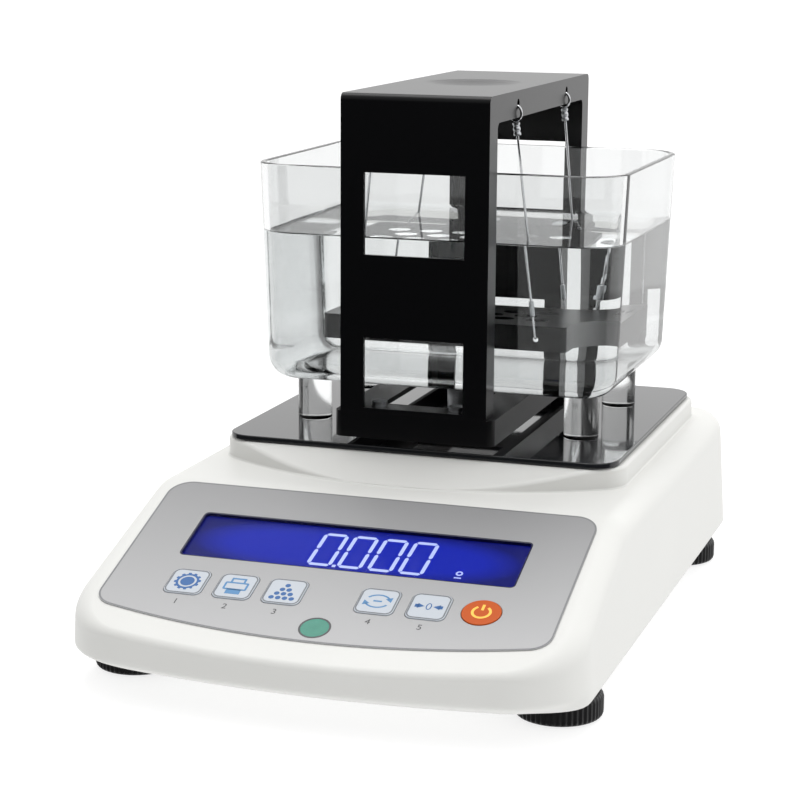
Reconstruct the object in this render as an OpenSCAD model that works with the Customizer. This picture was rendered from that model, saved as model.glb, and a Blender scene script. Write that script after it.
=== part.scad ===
// Benchtop density meter: a levelled weighing housing, a clear water tank on a fixed
// platform, and a black weighing arch that straddles the tank and carries a hanging tray.
// Frame: +X right, +Y to the rear, +Z up, millimetres, origin on the bench under the centre.

/* [Housing] */
// Width of the housing at its underside
housing_w = 220; // [212:1:264]
// Length of the housing, front bow to rear face
housing_l = 343; // [330:1:412]
// Height of the flat deck above the underside
deck_h = 57.2; // [50:0.1:69]
// Lean of each side wall between underside and deck
side_draft = 4; // [0:0.5:8]
// Wall of the moulded housing
wall = 2.5; // [2:0.1:3.5]
// Slope of the control panel, degrees
panel_slope = 20; // [16:1:24]
// Distance from the front bow to the upper end of the slope
panel_run = 110.3; // [105:0.1:125]
// Forward bow of the front edge
front_bow = 13; // [6:1:20]
// Radius of the rear corners of the housing in plan
housing_r = 15; // [10:1:20]
// Radius of the front corners of the housing in plan
front_r = 35; // [28:1:38]
// Radius of the shoulders between deck and sides
shoulder_r = 10; // [6:1:14]
// Radius along the lower edges of the side walls
foot_edge_r = 1.6; // [0.5:0.1:2]
// Radius under the front edge, from the front wall down to the underside
nose_r = 16; // [12:1:16]
// Radius of the rear edge of the deck
rear_edge_r = 8; // [5:1:12]

/* [Plateau under the platform] */
// Width of the raised plateau
plateau_w = 187; // [184:1:190]
// Length of the plateau, front bow to rear edge
plateau_l = 200; // [190:1:204]
// Height of the plateau above the deck
plateau_h = 9.3; // [7:0.1:12]
// Forward bow of the plateau's front wall
plateau_bow = 33; // [24:1:40]
// Run of the sloping facet at the plateau's front
facet_run = 23; // [18:1:28]
// Distance from the rear face of the housing to the centre of weighing
pan_to_rear = 106.5; // [102:0.5:110]

/* [Control panel] */
// Width of the overlay film
overlay_w = 192; // [180:1:196]
// Length of the overlay film along the slope
overlay_l = 100.7; // [96:0.1:104]
// Thickness of the overlay film
overlay_t = 0.5; // [0.3:0.1:0.8]
// Width of the display window
window_w = 145; // [120:1:150]
// Height of the display window along the slope
window_h = 31; // [24:1:32]
// Side of a square function key
key_side = 16.4; // [13:0.1:19.7]
// Space between neighbouring function keys
key_space = 5; // [4:0.1:5.4]
// Diameter of the round power key
power_d = 16; // [13:0.5:18]
// Travel of every key
key_travel = 0.5; // [0.3:0.1:0.6]
// Gap around a key in its opening
key_fit = 0.3; // [0.2:0.05:0.5]
// Diameter of the bubble level in the panel
vial_d = 12.6; // [10.5:0.1:15]

/* [Platform and tank] */
// Width of the black platform
platform_w = 182; // [178:1:186]
// Depth of the black platform
platform_l = 173; // [165:1:176]
// Thickness of the black platform
platform_t = 2.5; // [2:0.1:4]
// Width of the tank at its rim
tank_w = 172.6; // [143:0.2:182]
// Depth of the tank at its rim
tank_l = 135.2; // [125:0.2:140]
// Height of the tank
tank_h = 100.4; // [83:0.2:110]
// Wall of the tank
tank_wall = 3; // [2.5:0.1:3.5]
// Lean of each tank wall between floor and rim
tank_draft = 3.8; // [2:0.1:5]
// Corner radius of the tank at its rim
tank_r = 20; // [17:1:26]
// Radius around the tank's floor
tank_floor_r = 10; // [8:0.5:11]
// Diameter of a tank leg
leg_d = 16; // [12:0.5:18]
// Height of a tank leg
leg_h = 21.5; // [20:0.1:26]
// Distance from the tank's side wall at its rim to the legs' centres
leg_in_x = 21.8; // [21:0.1:26]
// Distance from the tank's front and rear walls at their rim to the legs' centres
leg_in_y = 29.6; // [22:0.1:36]

/* [Weighing arch] */
// Width of the arch
arch_w = 67.6; // [56:0.2:82]
// Depth of the arch, front face to rear face
arch_l = 176; // [164:1:180]
// Height of the arch above its base
arch_h = 140.8; // [134:0.2:150]
// Thickness of the folded sheet
sheet = 2; // [1.5:0.1:2.5]
// Width of the folded flanges and lips
flange = 12; // [10:0.5:13]
// Outside radius of the sheet's bends
bend_r = 3; // [2.5:0.5:4]
// Width of the windows in the front and rear panels
opening_w = 46; // [34:1:48]
// Diameter of the round weighing dish in the arch top
dish_d = 46; // [40:1:52]
// Depth of the dish
dish_depth = 2.2; // [1.5:0.1:2.5]
// Height of the folded base under the arch
base_h = 11.7; // [10:0.1:13]
// Air gap between the platform and the base
base_gap = 3.8; // [3:0.1:5]
// Reach of the base past each side of the arch
base_margin = 3.2; // [2:0.1:5]
// Diameter of the support post under the base
post_d = 21; // [18:0.5:24]

/* [Hanging tray] */
// Width of the tray
tray_w = 116; // [104:1:120]
// Depth of the tray
tray_l = 74; // [64:1:80]
// Height of the tray's skirt
tray_h = 11.5; // [10:0.1:14]
// Height of the tray's top above the tank's legs' feet
tray_z = 51.5; // [44:0.5:60]
// Diameter of the holes in the tray
tray_hole_d = 11; // [8:0.5:12]
// Spacing of the holes in the tray
tray_pitch = 16; // [14:0.5:20]
// Diameter of the hanger wire
wire_d = 1.2; // [1:0.1:1.6]

/* [Feet] */
// Diameter of a levelling knob
knob_d = 36; // [30:1:43]
// Height from the bench to the top of a knob
knob_top = 10.4; // [9:0.1:14]
// Thickness of the rubber pad under a knob
pad_t = 1.5; // [1:0.1:2.5]
// Diameter of the levelling thread
stud_d = 6; // [5:0.1:8]
// Lift that the levelling thread gives
foot_lift = 5; // [3:0.5:6]
// Height of the housing's underside above the bench
underside_z = 11.5; // [11.4:0.1:16]

/* [Hidden] */
$fn = 64;

// A length that reaches past any body of the part, for cuts
far = 500;
// Overlap that makes a cut pass clean through a face
bite = 1;
// Clearance between parts that are set into each other
fit = 0.3;
// Gap at a hook that hangs loosely in its hole
hang_gap = 0.12;

// Places derived from the housing
deck_z = underside_z + deck_h;
plateau_z = deck_z + plateau_h;
front_y = -housing_l / 2;
rear_y = housing_l / 2;
pan_y = rear_y - pan_to_rear;
panel_top_y = front_y + panel_run;
draft_tan = side_draft / deck_h;
// The bowed front edge is an arc of this radius about a point on the centre line
bow_r = (pow(housing_w / 2, 2) + pow(front_bow, 2)) / (2 * front_bow);
// The plateau reaches this far behind and in front of the centre of weighing
plateau_rear = 89;
// The plateau's facet starts at the platform's front edge
facet_start = plateau_rear - plateau_l + facet_run;
plateau_r = 15;

// Control panel, in its own frame: x across, y up the slope, z off the surface
overlay_top = -2.6;
overlay_r = 10;
overlay_bow = 12;
window_y = -40;
window_r = 2;
lens_t = 2;
key_y = -73.7;
power_x = 64.2;
key_pitch = key_side + key_space;
key_left = -61.2;
key_right = power_x - (power_d + key_side) / 2 - 5.4;
key_x = [key_left, key_left + key_pitch, key_left + 2 * key_pitch, key_right - key_pitch,
    key_right];
vial_x = 1.6;
vial_y = -94.2;
key_rise = 0.9;
key_flange_t = 1.2;
key_flange = 1;
key_corner_r = 3;
board_top = -10;
board_t = 1.6;
control_board_w = overlay_w - 16;
control_board_y = [-86, -19];
switch_side = 6;
stem_d = 5;
stem_gap = key_travel + 0.1;
flange_top = -wall - 0.1;
key_bottom = flange_top - key_flange_t;
lcd_w = window_w + 7;
lcd_h = window_h + 6;
lcd_top = -wall - 0.7;
vial_depth = 8;
board_screw_d = 3;
board_boss_d = 6.5;
board_boss_x = control_board_w / 2 - 4;
board_boss_y = [control_board_y[0] + 4, control_board_y[1] - 4];

// Bottom cover, boards and load cell
cover_t = 2.5;
cover_z = underside_z + cover_t;
cell_w = 34;
cell_l = 130;
cell_h = 22;
cell_spacer = 6;
cell_z = cover_z + cell_spacer;
cell_top = cell_z + cell_h;
cell_end = 40;
top_spacer = 4;
support_z = cell_top + top_spacer;
support_t = 4;
support_w = 50;
bolt_d = 6;
bolt_head_d = 10;
bolt_head_h = 4;
bolt_spread = 20;
post_hole = post_d + 5;
main_board_w = 56;
main_board_l = 90;
main_board_x = -(cell_w / 2 + 16 + main_board_w / 2);
main_board_y = pan_y;
main_board_z = cover_z + 8;
rear_port_z = underside_z + 22;
dc_x = -60;
dc_w = 12;
dc_h = 11;
serial_x = 52;
serial_w = 31;
serial_h = 13;
port_depth = 14;

// Housing screws rise from the cover into bosses under the deck
housing_boss_d = 10;
housing_screw_d = 4;
housing_screw_l = 16;
housing_screw_head = 7.5;
boss_in = 19;
housing_boss_x = housing_w / 2 - boss_in;
housing_boss_y = [panel_top_y + 6, rear_y - boss_in];

// Feet
foot_x = housing_w / 2 - 18;
foot_front_y = front_y + 57.6;
foot_rear_y = rear_y - 47;
foot_places = [
    [-foot_x, foot_front_y], [foot_x, foot_front_y],
    [-foot_x, foot_rear_y], [foot_x, foot_rear_y]
];
pad_d = knob_d - 10;
knob_low = 0.4;
stud_low = pad_t + 1.5;
insert_d = stud_d + 3;
insert_l = 12;
stud_top = cover_z + insert_l + 4;
foot_boss_d = insert_d + 7;

// Platform, tank and arch levels
platform_z = plateau_z;
platform_top = platform_z + platform_t;
platform_r = 12;
peg_d = 8;
peg_h = 6;
peg_x = platform_w / 2 - 14;
peg_y = platform_l / 2 - 18;
tank_z = platform_top + leg_h;
tank_rim_z = tank_z + tank_h;
tank_tan = tank_draft / tank_h;
leg_x = tank_w / 2 - leg_in_x;
leg_y = tank_l / 2 - leg_in_y;
base_z = platform_top + base_gap;
arch_z = base_z + base_h;
arch_top = arch_z + arch_h;
base_w = arch_w + 2 * base_margin;
base_r = 4;
base_opening = [42, 56];
base_opening_y = 42;
hub_screw_d = 5;
lower_opening = [sheet, 33.8];
upper_opening = [70.5, 106.7];
arch_screw_d = 4;
arch_screw_x = arch_w / 2 - 15.8;
dish_back = 2;

// Hanging tray and its wires
tray_sheet = 1.5;
tray_top = platform_top + tray_z;
tray_hook_x = tray_w / 2 - 14;
tray_hook_drop = 5.5;
tray_hook_z = tray_top - tray_hook_drop;
lip_x = arch_w / 2 - sheet / 2;
lip_hole_y = 43.4;
lip_hole_d = 4;
lip_hole_z = arch_top - 5.7;
ring_r = 2.5;
ring_drop = 6.7;
// The ring's curved inside rests on both edges of its hole in the lip
ring_inner = ring_r - wire_d / 2;
ring_seat = ring_inner - sqrt(pow(ring_inner, 2) - pow(sheet / 2, 2));
ring_top = lip_hole_z - lip_hole_d / 2 + wire_d / 2 + ring_seat;
hook_hole_d = wire_d + 1.4;
ferrule_d = 3.4;
ferrule_l = 6;
sleeve_d = 2.4;
sleeve_l = 7;
sleeve_up = 10;
hook_in = 4;
hook_out = tray_l / 2 + wire_d / 2 + fit;

// ---- Shapes that repeat ----

// Rounded rectangle centred on the origin
module rounded_rect(w, l, r) {
    square([w - 2 * r, l], center = true);
    square([w, l - 2 * r], center = true);
    for (x = [-1, 1], y = [-1, 1])
        translate([x * (w / 2 - r), y * (l / 2 - r)]) circle(r);
}

// Outline with a bowed front: rear edge on y = 0, apex of the bow at y = -l
module bowed_outline(w, l, bow, r_front, r_rear) {
    a = w / 2;
    big = (a * a + bow * bow) / (2 * bow);
    cy = big - l;
    yc = cy - sqrt(pow(big - r_front, 2) - pow(a - r_front, 2));
    translate([-a, yc]) square([w, -r_rear - yc]);
    translate([r_rear - a, yc]) square([w - 2 * r_rear, -yc]);
    for (s = [-1, 1]) {
        translate([s * (a - r_rear), -r_rear]) circle(r_rear);
        translate([s * (a - r_front), yc]) circle(r_front);
    }
    // The bow stops a hair short of the corners' tangent points, so no edge has zero length
    reach = 1.2;
    short = 0.99;
    near_x = (a - r_front) * short;
    intersection() {
        translate([0, cy]) circle(big, $fn = 256);
        polygon([
            [-near_x, yc], [near_x, yc],
            [near_x * reach, cy + (yc - cy) * reach],
            [-near_x * reach, cy + (yc - cy) * reach]
        ]);
    }
}

// Frame of the control panel
module on_panel() {
    translate([0, panel_top_y, deck_z]) rotate([panel_slope, 0, 0]) children();
}

// Prism of a 2D outline between two heights
module prism(z0, z1) {
    translate([0, 0, z0]) linear_extrude(z1 - z0) children();
}

// Screw pointing up, with its head's lower face at the origin's height
module screw_up(d, l, head_d, head_h) {
    cylinder(h = head_h, d = head_d);
    cylinder(h = head_h + l, d = d);
}

// ---- Housing ----

// Section across the housing: leaning sides, round shoulders, flat deck
module housing_section(inset) {
    top = deck_h - inset;
    foot = housing_w / 2 - inset;
    r = max(shoulder_r - inset, 1);
    lean = atan(draft_tan);
    xc = foot - draft_tan * (top - r) - r / cos(lean);
    // The outer form has its lower edge rounded, and the inner one stays straight there
    low_r = inset > 0 ? 0 : foot_edge_r;
    x_low = foot - draft_tan * low_r - low_r / cos(lean);
    low_z = low_r + low_r * sin(lean);
    polygon([
        [-x_low, -bite], [x_low, -bite], [x_low + low_r * cos(lean), low_z],
        [xc + r * cos(lean), top - r + r * sin(lean)], [xc, top],
        [-xc, top], [-xc - r * cos(lean), top - r + r * sin(lean)],
        [-x_low - low_r * cos(lean), low_z]
    ]);
    for (s = [-1, 1]) {
        translate([s * xc, top - r]) circle(r);
        if (low_r > 0) translate([s * x_low, low_r]) circle(low_r);
    }
}

// Solid of the housing's main body, moved in by the inset
module body_form(inset, z0) {
    intersection() {
        translate([0, rear_y - inset, 0]) prism(z0, deck_z + bite)
            bowed_outline(housing_w - 2 * inset, housing_l - 2 * inset, front_bow,
                front_r - inset, housing_r - inset);
        translate([0, far / 2, underside_z]) rotate([90, 0, 0])
            linear_extrude(far) housing_section(inset);
        translate([0, front_y + bow_r, underside_z]) rotate_extrude($fn = 256) nose_profile(inset);
        translate([-far / 2, rear_y - inset, underside_z]) rotate([90, 0, 90])
            linear_extrude(far) rear_profile(inset);
        on_panel() translate([-far / 2, -far / 2, -far - inset]) cube([far, far, far]);
    }
}
// Section from the bow's centre out to the front wall, with the round below it
module nose_profile(inset) {
    translate([0, -bite]) square([bow_r - nose_r, far]);
    translate([0, nose_r]) square([bow_r - inset, far]);
    translate([bow_r - nose_r, nose_r]) circle(nose_r - inset);
}
// Side view of the rear wall and the round above it, the rear face on x = 0
module rear_profile(inset) {
    r = rear_edge_r - inset;
    translate([-far, -bite]) square([far, deck_h - inset - r + bite]);
    translate([-far, -bite]) square([far - r, deck_h - inset + bite]);
    translate([-r, deck_h - inset - r]) circle(r);
}

// Solid of the plateau, moved in by the inset, with its front facet
module plateau_form(inset, z0) {
    translate([0, pan_y, 0]) difference() {
        translate([0, plateau_rear - inset, 0]) prism(z0, plateau_z - inset)
            bowed_outline(plateau_w - 2 * inset, plateau_l - 2 * inset, plateau_bow,
                plateau_r - inset, plateau_r - inset);
        translate([0, facet_start, plateau_z - inset])
            rotate([atan(plateau_h / facet_run), 0, 0])
                translate([-far / 2, -far, 0]) cube([far, far, far]);
    }
}

module upper_housing() {
    color([0.89, 0.89, 0.87]) difference() {
        union() {
            difference() {
                union() {
                    body_form(0, underside_z);
                    plateau_form(0, deck_z - shoulder_r);
                }
                body_form(wall, underside_z - bite);
                plateau_form(wall, deck_z - shoulder_r - bite);
            }
            housing_bosses();
            panel_bosses();
        }
        panel_cuts();
        translate([0, pan_y, deck_z]) cylinder(h = plateau_h + bite, d = post_hole);
        for (x = [-peg_x, peg_x], y = [-peg_y, peg_y])
            translate([x, pan_y + y, deck_z]) cylinder(h = plateau_h + bite, d = peg_d + fit);
        for (x = [-housing_boss_x, housing_boss_x], y = housing_boss_y)
            translate([x, y, cover_z - bite])
                cylinder(h = housing_screw_l + bite, d = housing_screw_d);
        port_cut(dc_x, dc_w, dc_h);
        port_cut(serial_x, serial_w, serial_h);
    }
}

// Screw bosses that hang from the deck to the bottom cover
module housing_bosses() {
    intersection() {
        body_form(wall / 2, cover_z);
        for (x = [-housing_boss_x, housing_boss_x], y = housing_boss_y)
            translate([x, y, cover_z]) cylinder(h = deck_h, d = housing_boss_d);
    }
}

// Short bosses under the panel that carry the control board
module panel_bosses() {
    on_panel() for (x = [-board_boss_x, board_boss_x], y = board_boss_y)
        translate([x, y, board_top]) difference() {
            cylinder(h = -board_top - wall / 2, d = board_boss_d);
            translate([0, 0, -bite]) cylinder(h = -board_top - wall + bite, d = board_screw_d);
        }
}

// Openings in the panel for window, keys and bubble level
module panel_cuts() {
    on_panel() {
        translate([0, 0, -wall - bite]) linear_extrude(wall + 2 * bite)
            panel_openings(fit / 2, key_fit);
        translate([0, window_y, -2 * wall]) linear_extrude(2 * wall - lens_t)
            rounded_rect(window_w - 4, window_h - 4, window_r);
    }
}
module panel_openings(window_gap, key_gap) {
    translate([0, window_y])
        rounded_rect(window_w + 2 * window_gap, window_h + 2 * window_gap, window_r);
    for (x = key_x) translate([x, key_y])
        rounded_rect(key_side + 2 * key_gap, key_side + 2 * key_gap, key_corner_r + key_gap);
    translate([power_x, key_y]) circle(d = power_d + 2 * key_gap);
    translate([vial_x, vial_y]) circle(d = vial_d + 2 * window_gap);
}
module port_cut(x, w, h) {
    translate([x - w / 2 - fit / 2, rear_y - wall - bite, rear_port_z - h / 2 - fit / 2])
        cube([w + fit, wall + 2 * bite, h + fit]);
}

module bottom_cover() {
    rim = wall + fit;
    color([0.82, 0.82, 0.8]) difference() {
        union() {
            intersection() {
                body_form(rim, underside_z);
                translate([-far / 2, -far / 2, underside_z]) cube([far, far, cover_t]);
                translate([0, front_y + bow_r, underside_z])
                    cylinder(h = cover_t, r = bow_r - nose_r - fit, $fn = 256);
            }
            for (p = foot_places) translate([p[0], p[1], underside_z])
                cylinder(h = cover_t + insert_l, d = foot_boss_d);
            for (p = main_board_posts()) translate([p[0], p[1], underside_z])
                cylinder(h = main_board_z - underside_z, d = board_boss_d);
        }
        for (p = foot_places) translate([p[0], p[1], underside_z - bite])
            cylinder(h = cover_t + insert_l + 2 * bite, d = insert_d);
        for (p = main_board_posts()) translate([p[0], p[1], main_board_z - 6])
            cylinder(h = 6 + bite, d = board_screw_d);
        for (x = [-housing_boss_x, housing_boss_x], y = housing_boss_y)
            translate([x, y, underside_z]) {
                translate([0, 0, -bite]) cylinder(h = cover_t + 2 * bite, d = housing_screw_d + fit);
                translate([0, 0, -bite]) cylinder(h = bite + 1.2, d = housing_screw_head + fit);
            }
        for (y = cell_bolt_y(1), x = [-1, 1])
            translate([x * cell_w / 4, y, underside_z - bite]) {
                cylinder(h = cover_t + 2 * bite, d = bolt_d + fit);
                cylinder(h = bite + 1.5, d = bolt_head_d + fit);
            }
    }
}

// Screw places that several parts share
function main_board_posts() = [
    for (sx = [-1, 1], sy = [-1, 1])
        [main_board_x + sx * (main_board_w / 2 - 4), main_board_y + sy * (main_board_l / 2 - 4)]
];
function cell_bolt_y(end) = [
    for (s = [-1, 1]) pan_y + end * (cell_l - cell_end) / 2 + s * bolt_spread / 2
];

module housing_screws() {
    color([0.75, 0.76, 0.78])
        for (x = [-housing_boss_x, housing_boss_x], y = housing_boss_y)
            translate([x, y, underside_z]) screw_up(housing_screw_d, housing_screw_l,
                housing_screw_head, 1.2);
}

// ---- Control panel ----

module control_overlay() {
    color([0.74, 0.75, 0.75]) on_panel() linear_extrude(overlay_t) difference() {
        translate([0, overlay_top])
            bowed_outline(overlay_w, overlay_l, overlay_bow, overlay_r, overlay_r);
        panel_openings(0, key_fit);
    }
}

module display_window() {
    color([0.4, 0.5, 0.9, 0.5]) on_panel() {
        translate([0, window_y, -lens_t]) linear_extrude(lens_t + overlay_t)
            rounded_rect(window_w, window_h, window_r);
    }
}

module lcd_module() {
    color([0.17, 0.22, 0.7]) on_panel()
        translate([-lcd_w / 2, window_y - lcd_h / 2, board_top])
            cube([lcd_w, lcd_h, lcd_top - board_top]);
}

module control_board() {
    color([0.1, 0.4, 0.2]) on_panel() difference() {
        translate([-control_board_w / 2, control_board_y[0], board_top - board_t])
            cube([control_board_w, control_board_y[1] - control_board_y[0], board_t]);
        for (x = [-board_boss_x, board_boss_x], y = board_boss_y)
            translate([x, y, board_top - board_t - bite])
                cylinder(h = board_t + 2 * bite, d = board_screw_d + fit);
    }
}

module board_screws() {
    color([0.75, 0.76, 0.78]) on_panel()
        for (x = [-board_boss_x, board_boss_x], y = board_boss_y)
            translate([x, y, board_top - board_t - 2]) screw_up(board_screw_d, board_t + 5, 5.5, 2);
}

// Shape of a key's parts: cap through the panel, flange below it, stem over its switch
module key_stack(x) {
    on_panel() translate([x, key_y, 0]) {
        prism(flange_top - bite / 2, key_rise) children(0);
        prism(key_bottom, flange_top) children(1);
        translate([0, 0, switch_top() + stem_gap])
            cylinder(h = key_bottom - switch_top() - stem_gap + 0.5, d = stem_d);
    }
}
function switch_top() = board_top + 4.6;

module function_key(i) {
    color([0.9, 0.91, 0.93]) key_stack(key_x[i - 1]) {
        rounded_rect(key_side, key_side, key_corner_r);
        rounded_rect(key_side + 2 * key_flange, key_side + 2 * key_flange, key_corner_r);
    }
}
module power_key() {
    color([0.91, 0.41, 0.16]) key_stack(power_x) {
        circle(d = power_d);
        circle(d = power_d + 2 * key_flange);
    }
}
module key_switches() {
    color([0.15, 0.15, 0.16]) on_panel() for (x = concat(key_x, [power_x]))
        translate([x, key_y, board_top]) {
            translate([-switch_side / 2, -switch_side / 2, 0]) cube([switch_side, switch_side, 3.4]);
            cylinder(h = switch_top() - board_top, d = 3.4);
        }
}

module level_vial() {
    color([0.25, 0.5, 0.42]) on_panel() translate([vial_x, vial_y, 0]) {
        prism(-vial_depth, overlay_t - 1) circle(d = vial_d - fit);
        prism(-vial_depth, -wall) circle(d = vial_d + 3);
    }
}
module vial_cap() {
    color([0.4, 0.65, 0.55]) on_panel() translate([vial_x, vial_y, overlay_t - 1])
        cylinder(h = 1, d = vial_d);
}

// ---- Inside the housing ----

module load_cell() {
    slot_d = 12;
    slot_half = 16;
    color([0.78, 0.79, 0.8]) translate([0, pan_y, cell_z]) difference() {
        translate([-cell_w / 2, -cell_l / 2, 0]) cube([cell_w, cell_l, cell_h]);
        for (s = [-1, 1]) translate([-cell_w, s * slot_half, cell_h / 2])
            rotate([0, 90, 0]) cylinder(h = 2 * cell_w, d = slot_d);
        translate([-cell_w, -slot_half, cell_h / 2 - 2]) cube([2 * cell_w, 2 * slot_half, 4]);
        for (end = [-1, 1], s = [-1, 1], x = [-1, 1])
            translate([x * cell_w / 4, end * (cell_l - cell_end) / 2 + s * bolt_spread / 2, -bite])
                cylinder(h = cell_h + 2 * bite, d = bolt_d);
    }
}

module load_cell_spacers() {
    color([0.6, 0.61, 0.63]) {
        cell_spacer_block(1, cover_z, cell_spacer);
        cell_spacer_block(-1, cell_top, top_spacer);
    }
}
module cell_spacer_block(end, z, h) {
    difference() {
        translate([-cell_w / 2, pan_y + end * (cell_l - cell_end) / 2 - cell_end / 2, z])
            cube([cell_w, cell_end, h]);
        for (y = cell_bolt_y(end), x = [-1, 1]) translate([x * cell_w / 4, y, z - bite])
            cylinder(h = h + 2 * bite, d = bolt_d);
    }
}

module load_cell_bolts() {
    color([0.5, 0.5, 0.52]) {
        for (y = cell_bolt_y(1), x = [-1, 1]) translate([x * cell_w / 4, y, underside_z + 0.2])
            screw_up(bolt_d, cover_t + cell_spacer + 12, bolt_head_d, 1.3);
        for (y = cell_bolt_y(-1), x = [-1, 1])
            translate([x * cell_w / 4, y, support_z + support_t + bolt_head_h])
                mirror([0, 0, 1]) screw_up(bolt_d, support_t + top_spacer + 12,
                    bolt_head_d, bolt_head_h);
    }
}

// Bracket bolted to the free end of the load cell, with the post that carries the arch
module pan_support() {
    front = (cell_l + cell_end) / 2 - cell_end / 2 + 4;
    color([0.7, 0.71, 0.72]) translate([0, pan_y, 0]) difference() {
        union() {
            translate([-support_w / 2, -front, support_z]) cube([support_w, front + 25, support_t]);
            translate([0, 0, support_z]) cylinder(h = base_z + base_h - sheet - support_z, d = post_d);
        }
        for (y = cell_bolt_y(-1), x = [-1, 1])
            translate([x * cell_w / 4, y - pan_y, support_z - bite])
                cylinder(h = support_t + 2 * bite, d = bolt_d + fit);
        translate([0, 0, arch_z - sheet - 14]) cylinder(h = 14 + bite, d = hub_screw_d);
    }
}

module main_board() {
    color([0.1, 0.4, 0.2]) difference() {
        union() {
            translate([main_board_x - main_board_w / 2, main_board_y - main_board_l / 2, main_board_z])
                cube([main_board_w, main_board_l, board_t]);
            translate([main_board_x - 14, main_board_y - 20, main_board_z + board_t])
                cube([28, 24, 12]);
            translate([main_board_x - 18, main_board_y + 14, main_board_z + board_t])
                cube([12, 16, 6]);
        }
        for (p = main_board_posts()) translate([p[0], p[1], main_board_z - bite])
            cylinder(h = board_t + 2 * bite, d = board_screw_d + fit);
    }
}
module main_board_screws() {
    color([0.75, 0.76, 0.78]) for (p = main_board_posts())
        translate([p[0], p[1], main_board_z + board_t + 2]) mirror([0, 0, 1])
            screw_up(board_screw_d, board_t + 5, 5.5, 2);
}

module dc_inlet() {
    color([0.12, 0.12, 0.13]) translate([dc_x, rear_y, rear_port_z]) difference() {
        translate([-dc_w / 2, -port_depth, -dc_h / 2]) cube([dc_w, port_depth, dc_h]);
        translate([0, bite, 0]) rotate([90, 0, 0]) cylinder(h = 10 + bite, d = 6.4);
    }
    color([0.7, 0.7, 0.7]) translate([dc_x, rear_y - 1, rear_port_z]) rotate([90, 0, 0])
        cylinder(h = 10, d = 2);
}

module serial_port() {
    shell = [18, 9];
    face = [16.4, 7.4];
    color([0.75, 0.76, 0.78]) translate([serial_x, rear_y, rear_port_z]) difference() {
        union() {
            translate([-serial_w / 2, -port_depth, -serial_h / 2])
                cube([serial_w, port_depth - 1, serial_h]);
            translate([-shell[0] / 2, -1, -shell[1] / 2]) cube([shell[0], 1, shell[1]]);
        }
        translate([-face[0] / 2, -1, -face[1] / 2]) cube([face[0], 1 + bite, face[1]]);
    }
}

// Wire along straight runs between points, tied in a short collar at each corner
module wire(points, d) {
    for (i = [0:len(points) - 2]) rod(points[i], points[i + 1], d);
    for (i = [1:len(points) - 2])
        translate(points[i] - [0, 0, 0.75 * d]) cylinder(h = 1.5 * d, d = 1.5 * d);
}
// Flat cable between the two boards, with a plug at each end
module ribbon_cable() {
    ribbon_w = 20;
    ribbon_t = 1.2;
    plug_h = 4;
    run_z = main_board_z + board_t + plug_h / 2;
    board_end = main_board_y - main_board_l / 2;
    under = board_top - board_t;
    rise_v = control_board_y[1] - 12;
    rise_y = panel_top_y + rise_v * cos(panel_slope) - (under - 2) * sin(panel_slope);
    rise_z = deck_z + rise_v * sin(panel_slope) + (under - 2) * cos(panel_slope);
    color([0.55, 0.56, 0.58]) {
        translate([main_board_x - ribbon_w / 2 - 2, board_end + 2, main_board_z + board_t])
            cube([ribbon_w + 4, 6, plug_h]);
        translate([main_board_x - ribbon_w / 2, rise_y - ribbon_t, run_z - ribbon_t / 2])
            cube([ribbon_w, board_end + 3 - rise_y + ribbon_t, ribbon_t]);
        translate([main_board_x - ribbon_w / 2, rise_y - ribbon_t, run_z - ribbon_t / 2])
            cube([ribbon_w, ribbon_t, rise_z - run_z]);
        on_panel() translate([main_board_x - ribbon_w / 2 - 2, rise_v - 3, under - plug_h])
            cube([ribbon_w + 4, 6, plug_h]);
    }
}
// Cable from the side of the load cell to its plug on the main board
module cell_cable() {
    plug = [6, 10, 6];
    edge_x = main_board_x + main_board_w / 2;
    plug_y = main_board_y + 26;
    color([0.3, 0.3, 0.32]) {
        translate([edge_x - plug[0] - 1, plug_y - plug[1] / 2, main_board_z + board_t]) cube(plug);
        rod([edge_x - 2, plug_y, main_board_z + board_t + plug[2] / 2],
            [-cell_w / 2, plug_y, main_board_z + board_t + plug[2] / 2], 3);
    }
}
// Wires from the two sockets in the rear wall to the main board
module port_wires() {
    plug = [8, 6, 6];
    edge_y = main_board_y + main_board_l / 2;
    z = main_board_z + board_t + plug[2] / 2;
    cable_d = 3;
    end_y = rear_y - port_depth - cable_d / 2 - 0.1;
    places = [[dc_x, main_board_x - 12], [serial_x, main_board_x + 12]];
    color([0.3, 0.3, 0.32]) for (p = places) {
        translate([p[1] - plug[0] / 2, edge_y - plug[1] - 1, z - plug[2] / 2]) cube(plug);
        wire([[p[1], edge_y - 2, z], [p[1], end_y - 16, z], [p[0], end_y, rear_port_z]], cable_d);
    }
}

// ---- Platform and tank ----

module tank_platform() {
    color([0.03, 0.03, 0.035]) translate([0, pan_y, platform_z]) difference() {
        linear_extrude(platform_t) rounded_rect(platform_w, platform_l, platform_r);
        translate([0, 0, -bite]) cylinder(h = platform_t + 2 * bite, d = post_hole);
    }
}
module platform_pegs() {
    color([0.1, 0.1, 0.1]) for (x = [-peg_x, peg_x], y = [-peg_y, peg_y])
        translate([x, pan_y + y, platform_z - peg_h]) cylinder(h = peg_h, d = peg_d);
}

// Half section of a leaning wall with a round lower edge, from the corner's axis outward
module tank_profile(r_foot, h, floor_r) {
    lean = atan(tank_tan);
    uc = r_foot + floor_r * tank_tan - floor_r / cos(lean);
    polygon([
        [0, 0], [uc, 0],
        [uc + floor_r * cos(lean), floor_r - floor_r * sin(lean)],
        [r_foot + h * tank_tan, h], [0, h]
    ]);
    translate([uc, floor_r]) intersection() {
        circle(floor_r);
        translate([0, -floor_r]) square([2 * floor_r, 2 * floor_r]);
    }
}
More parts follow.
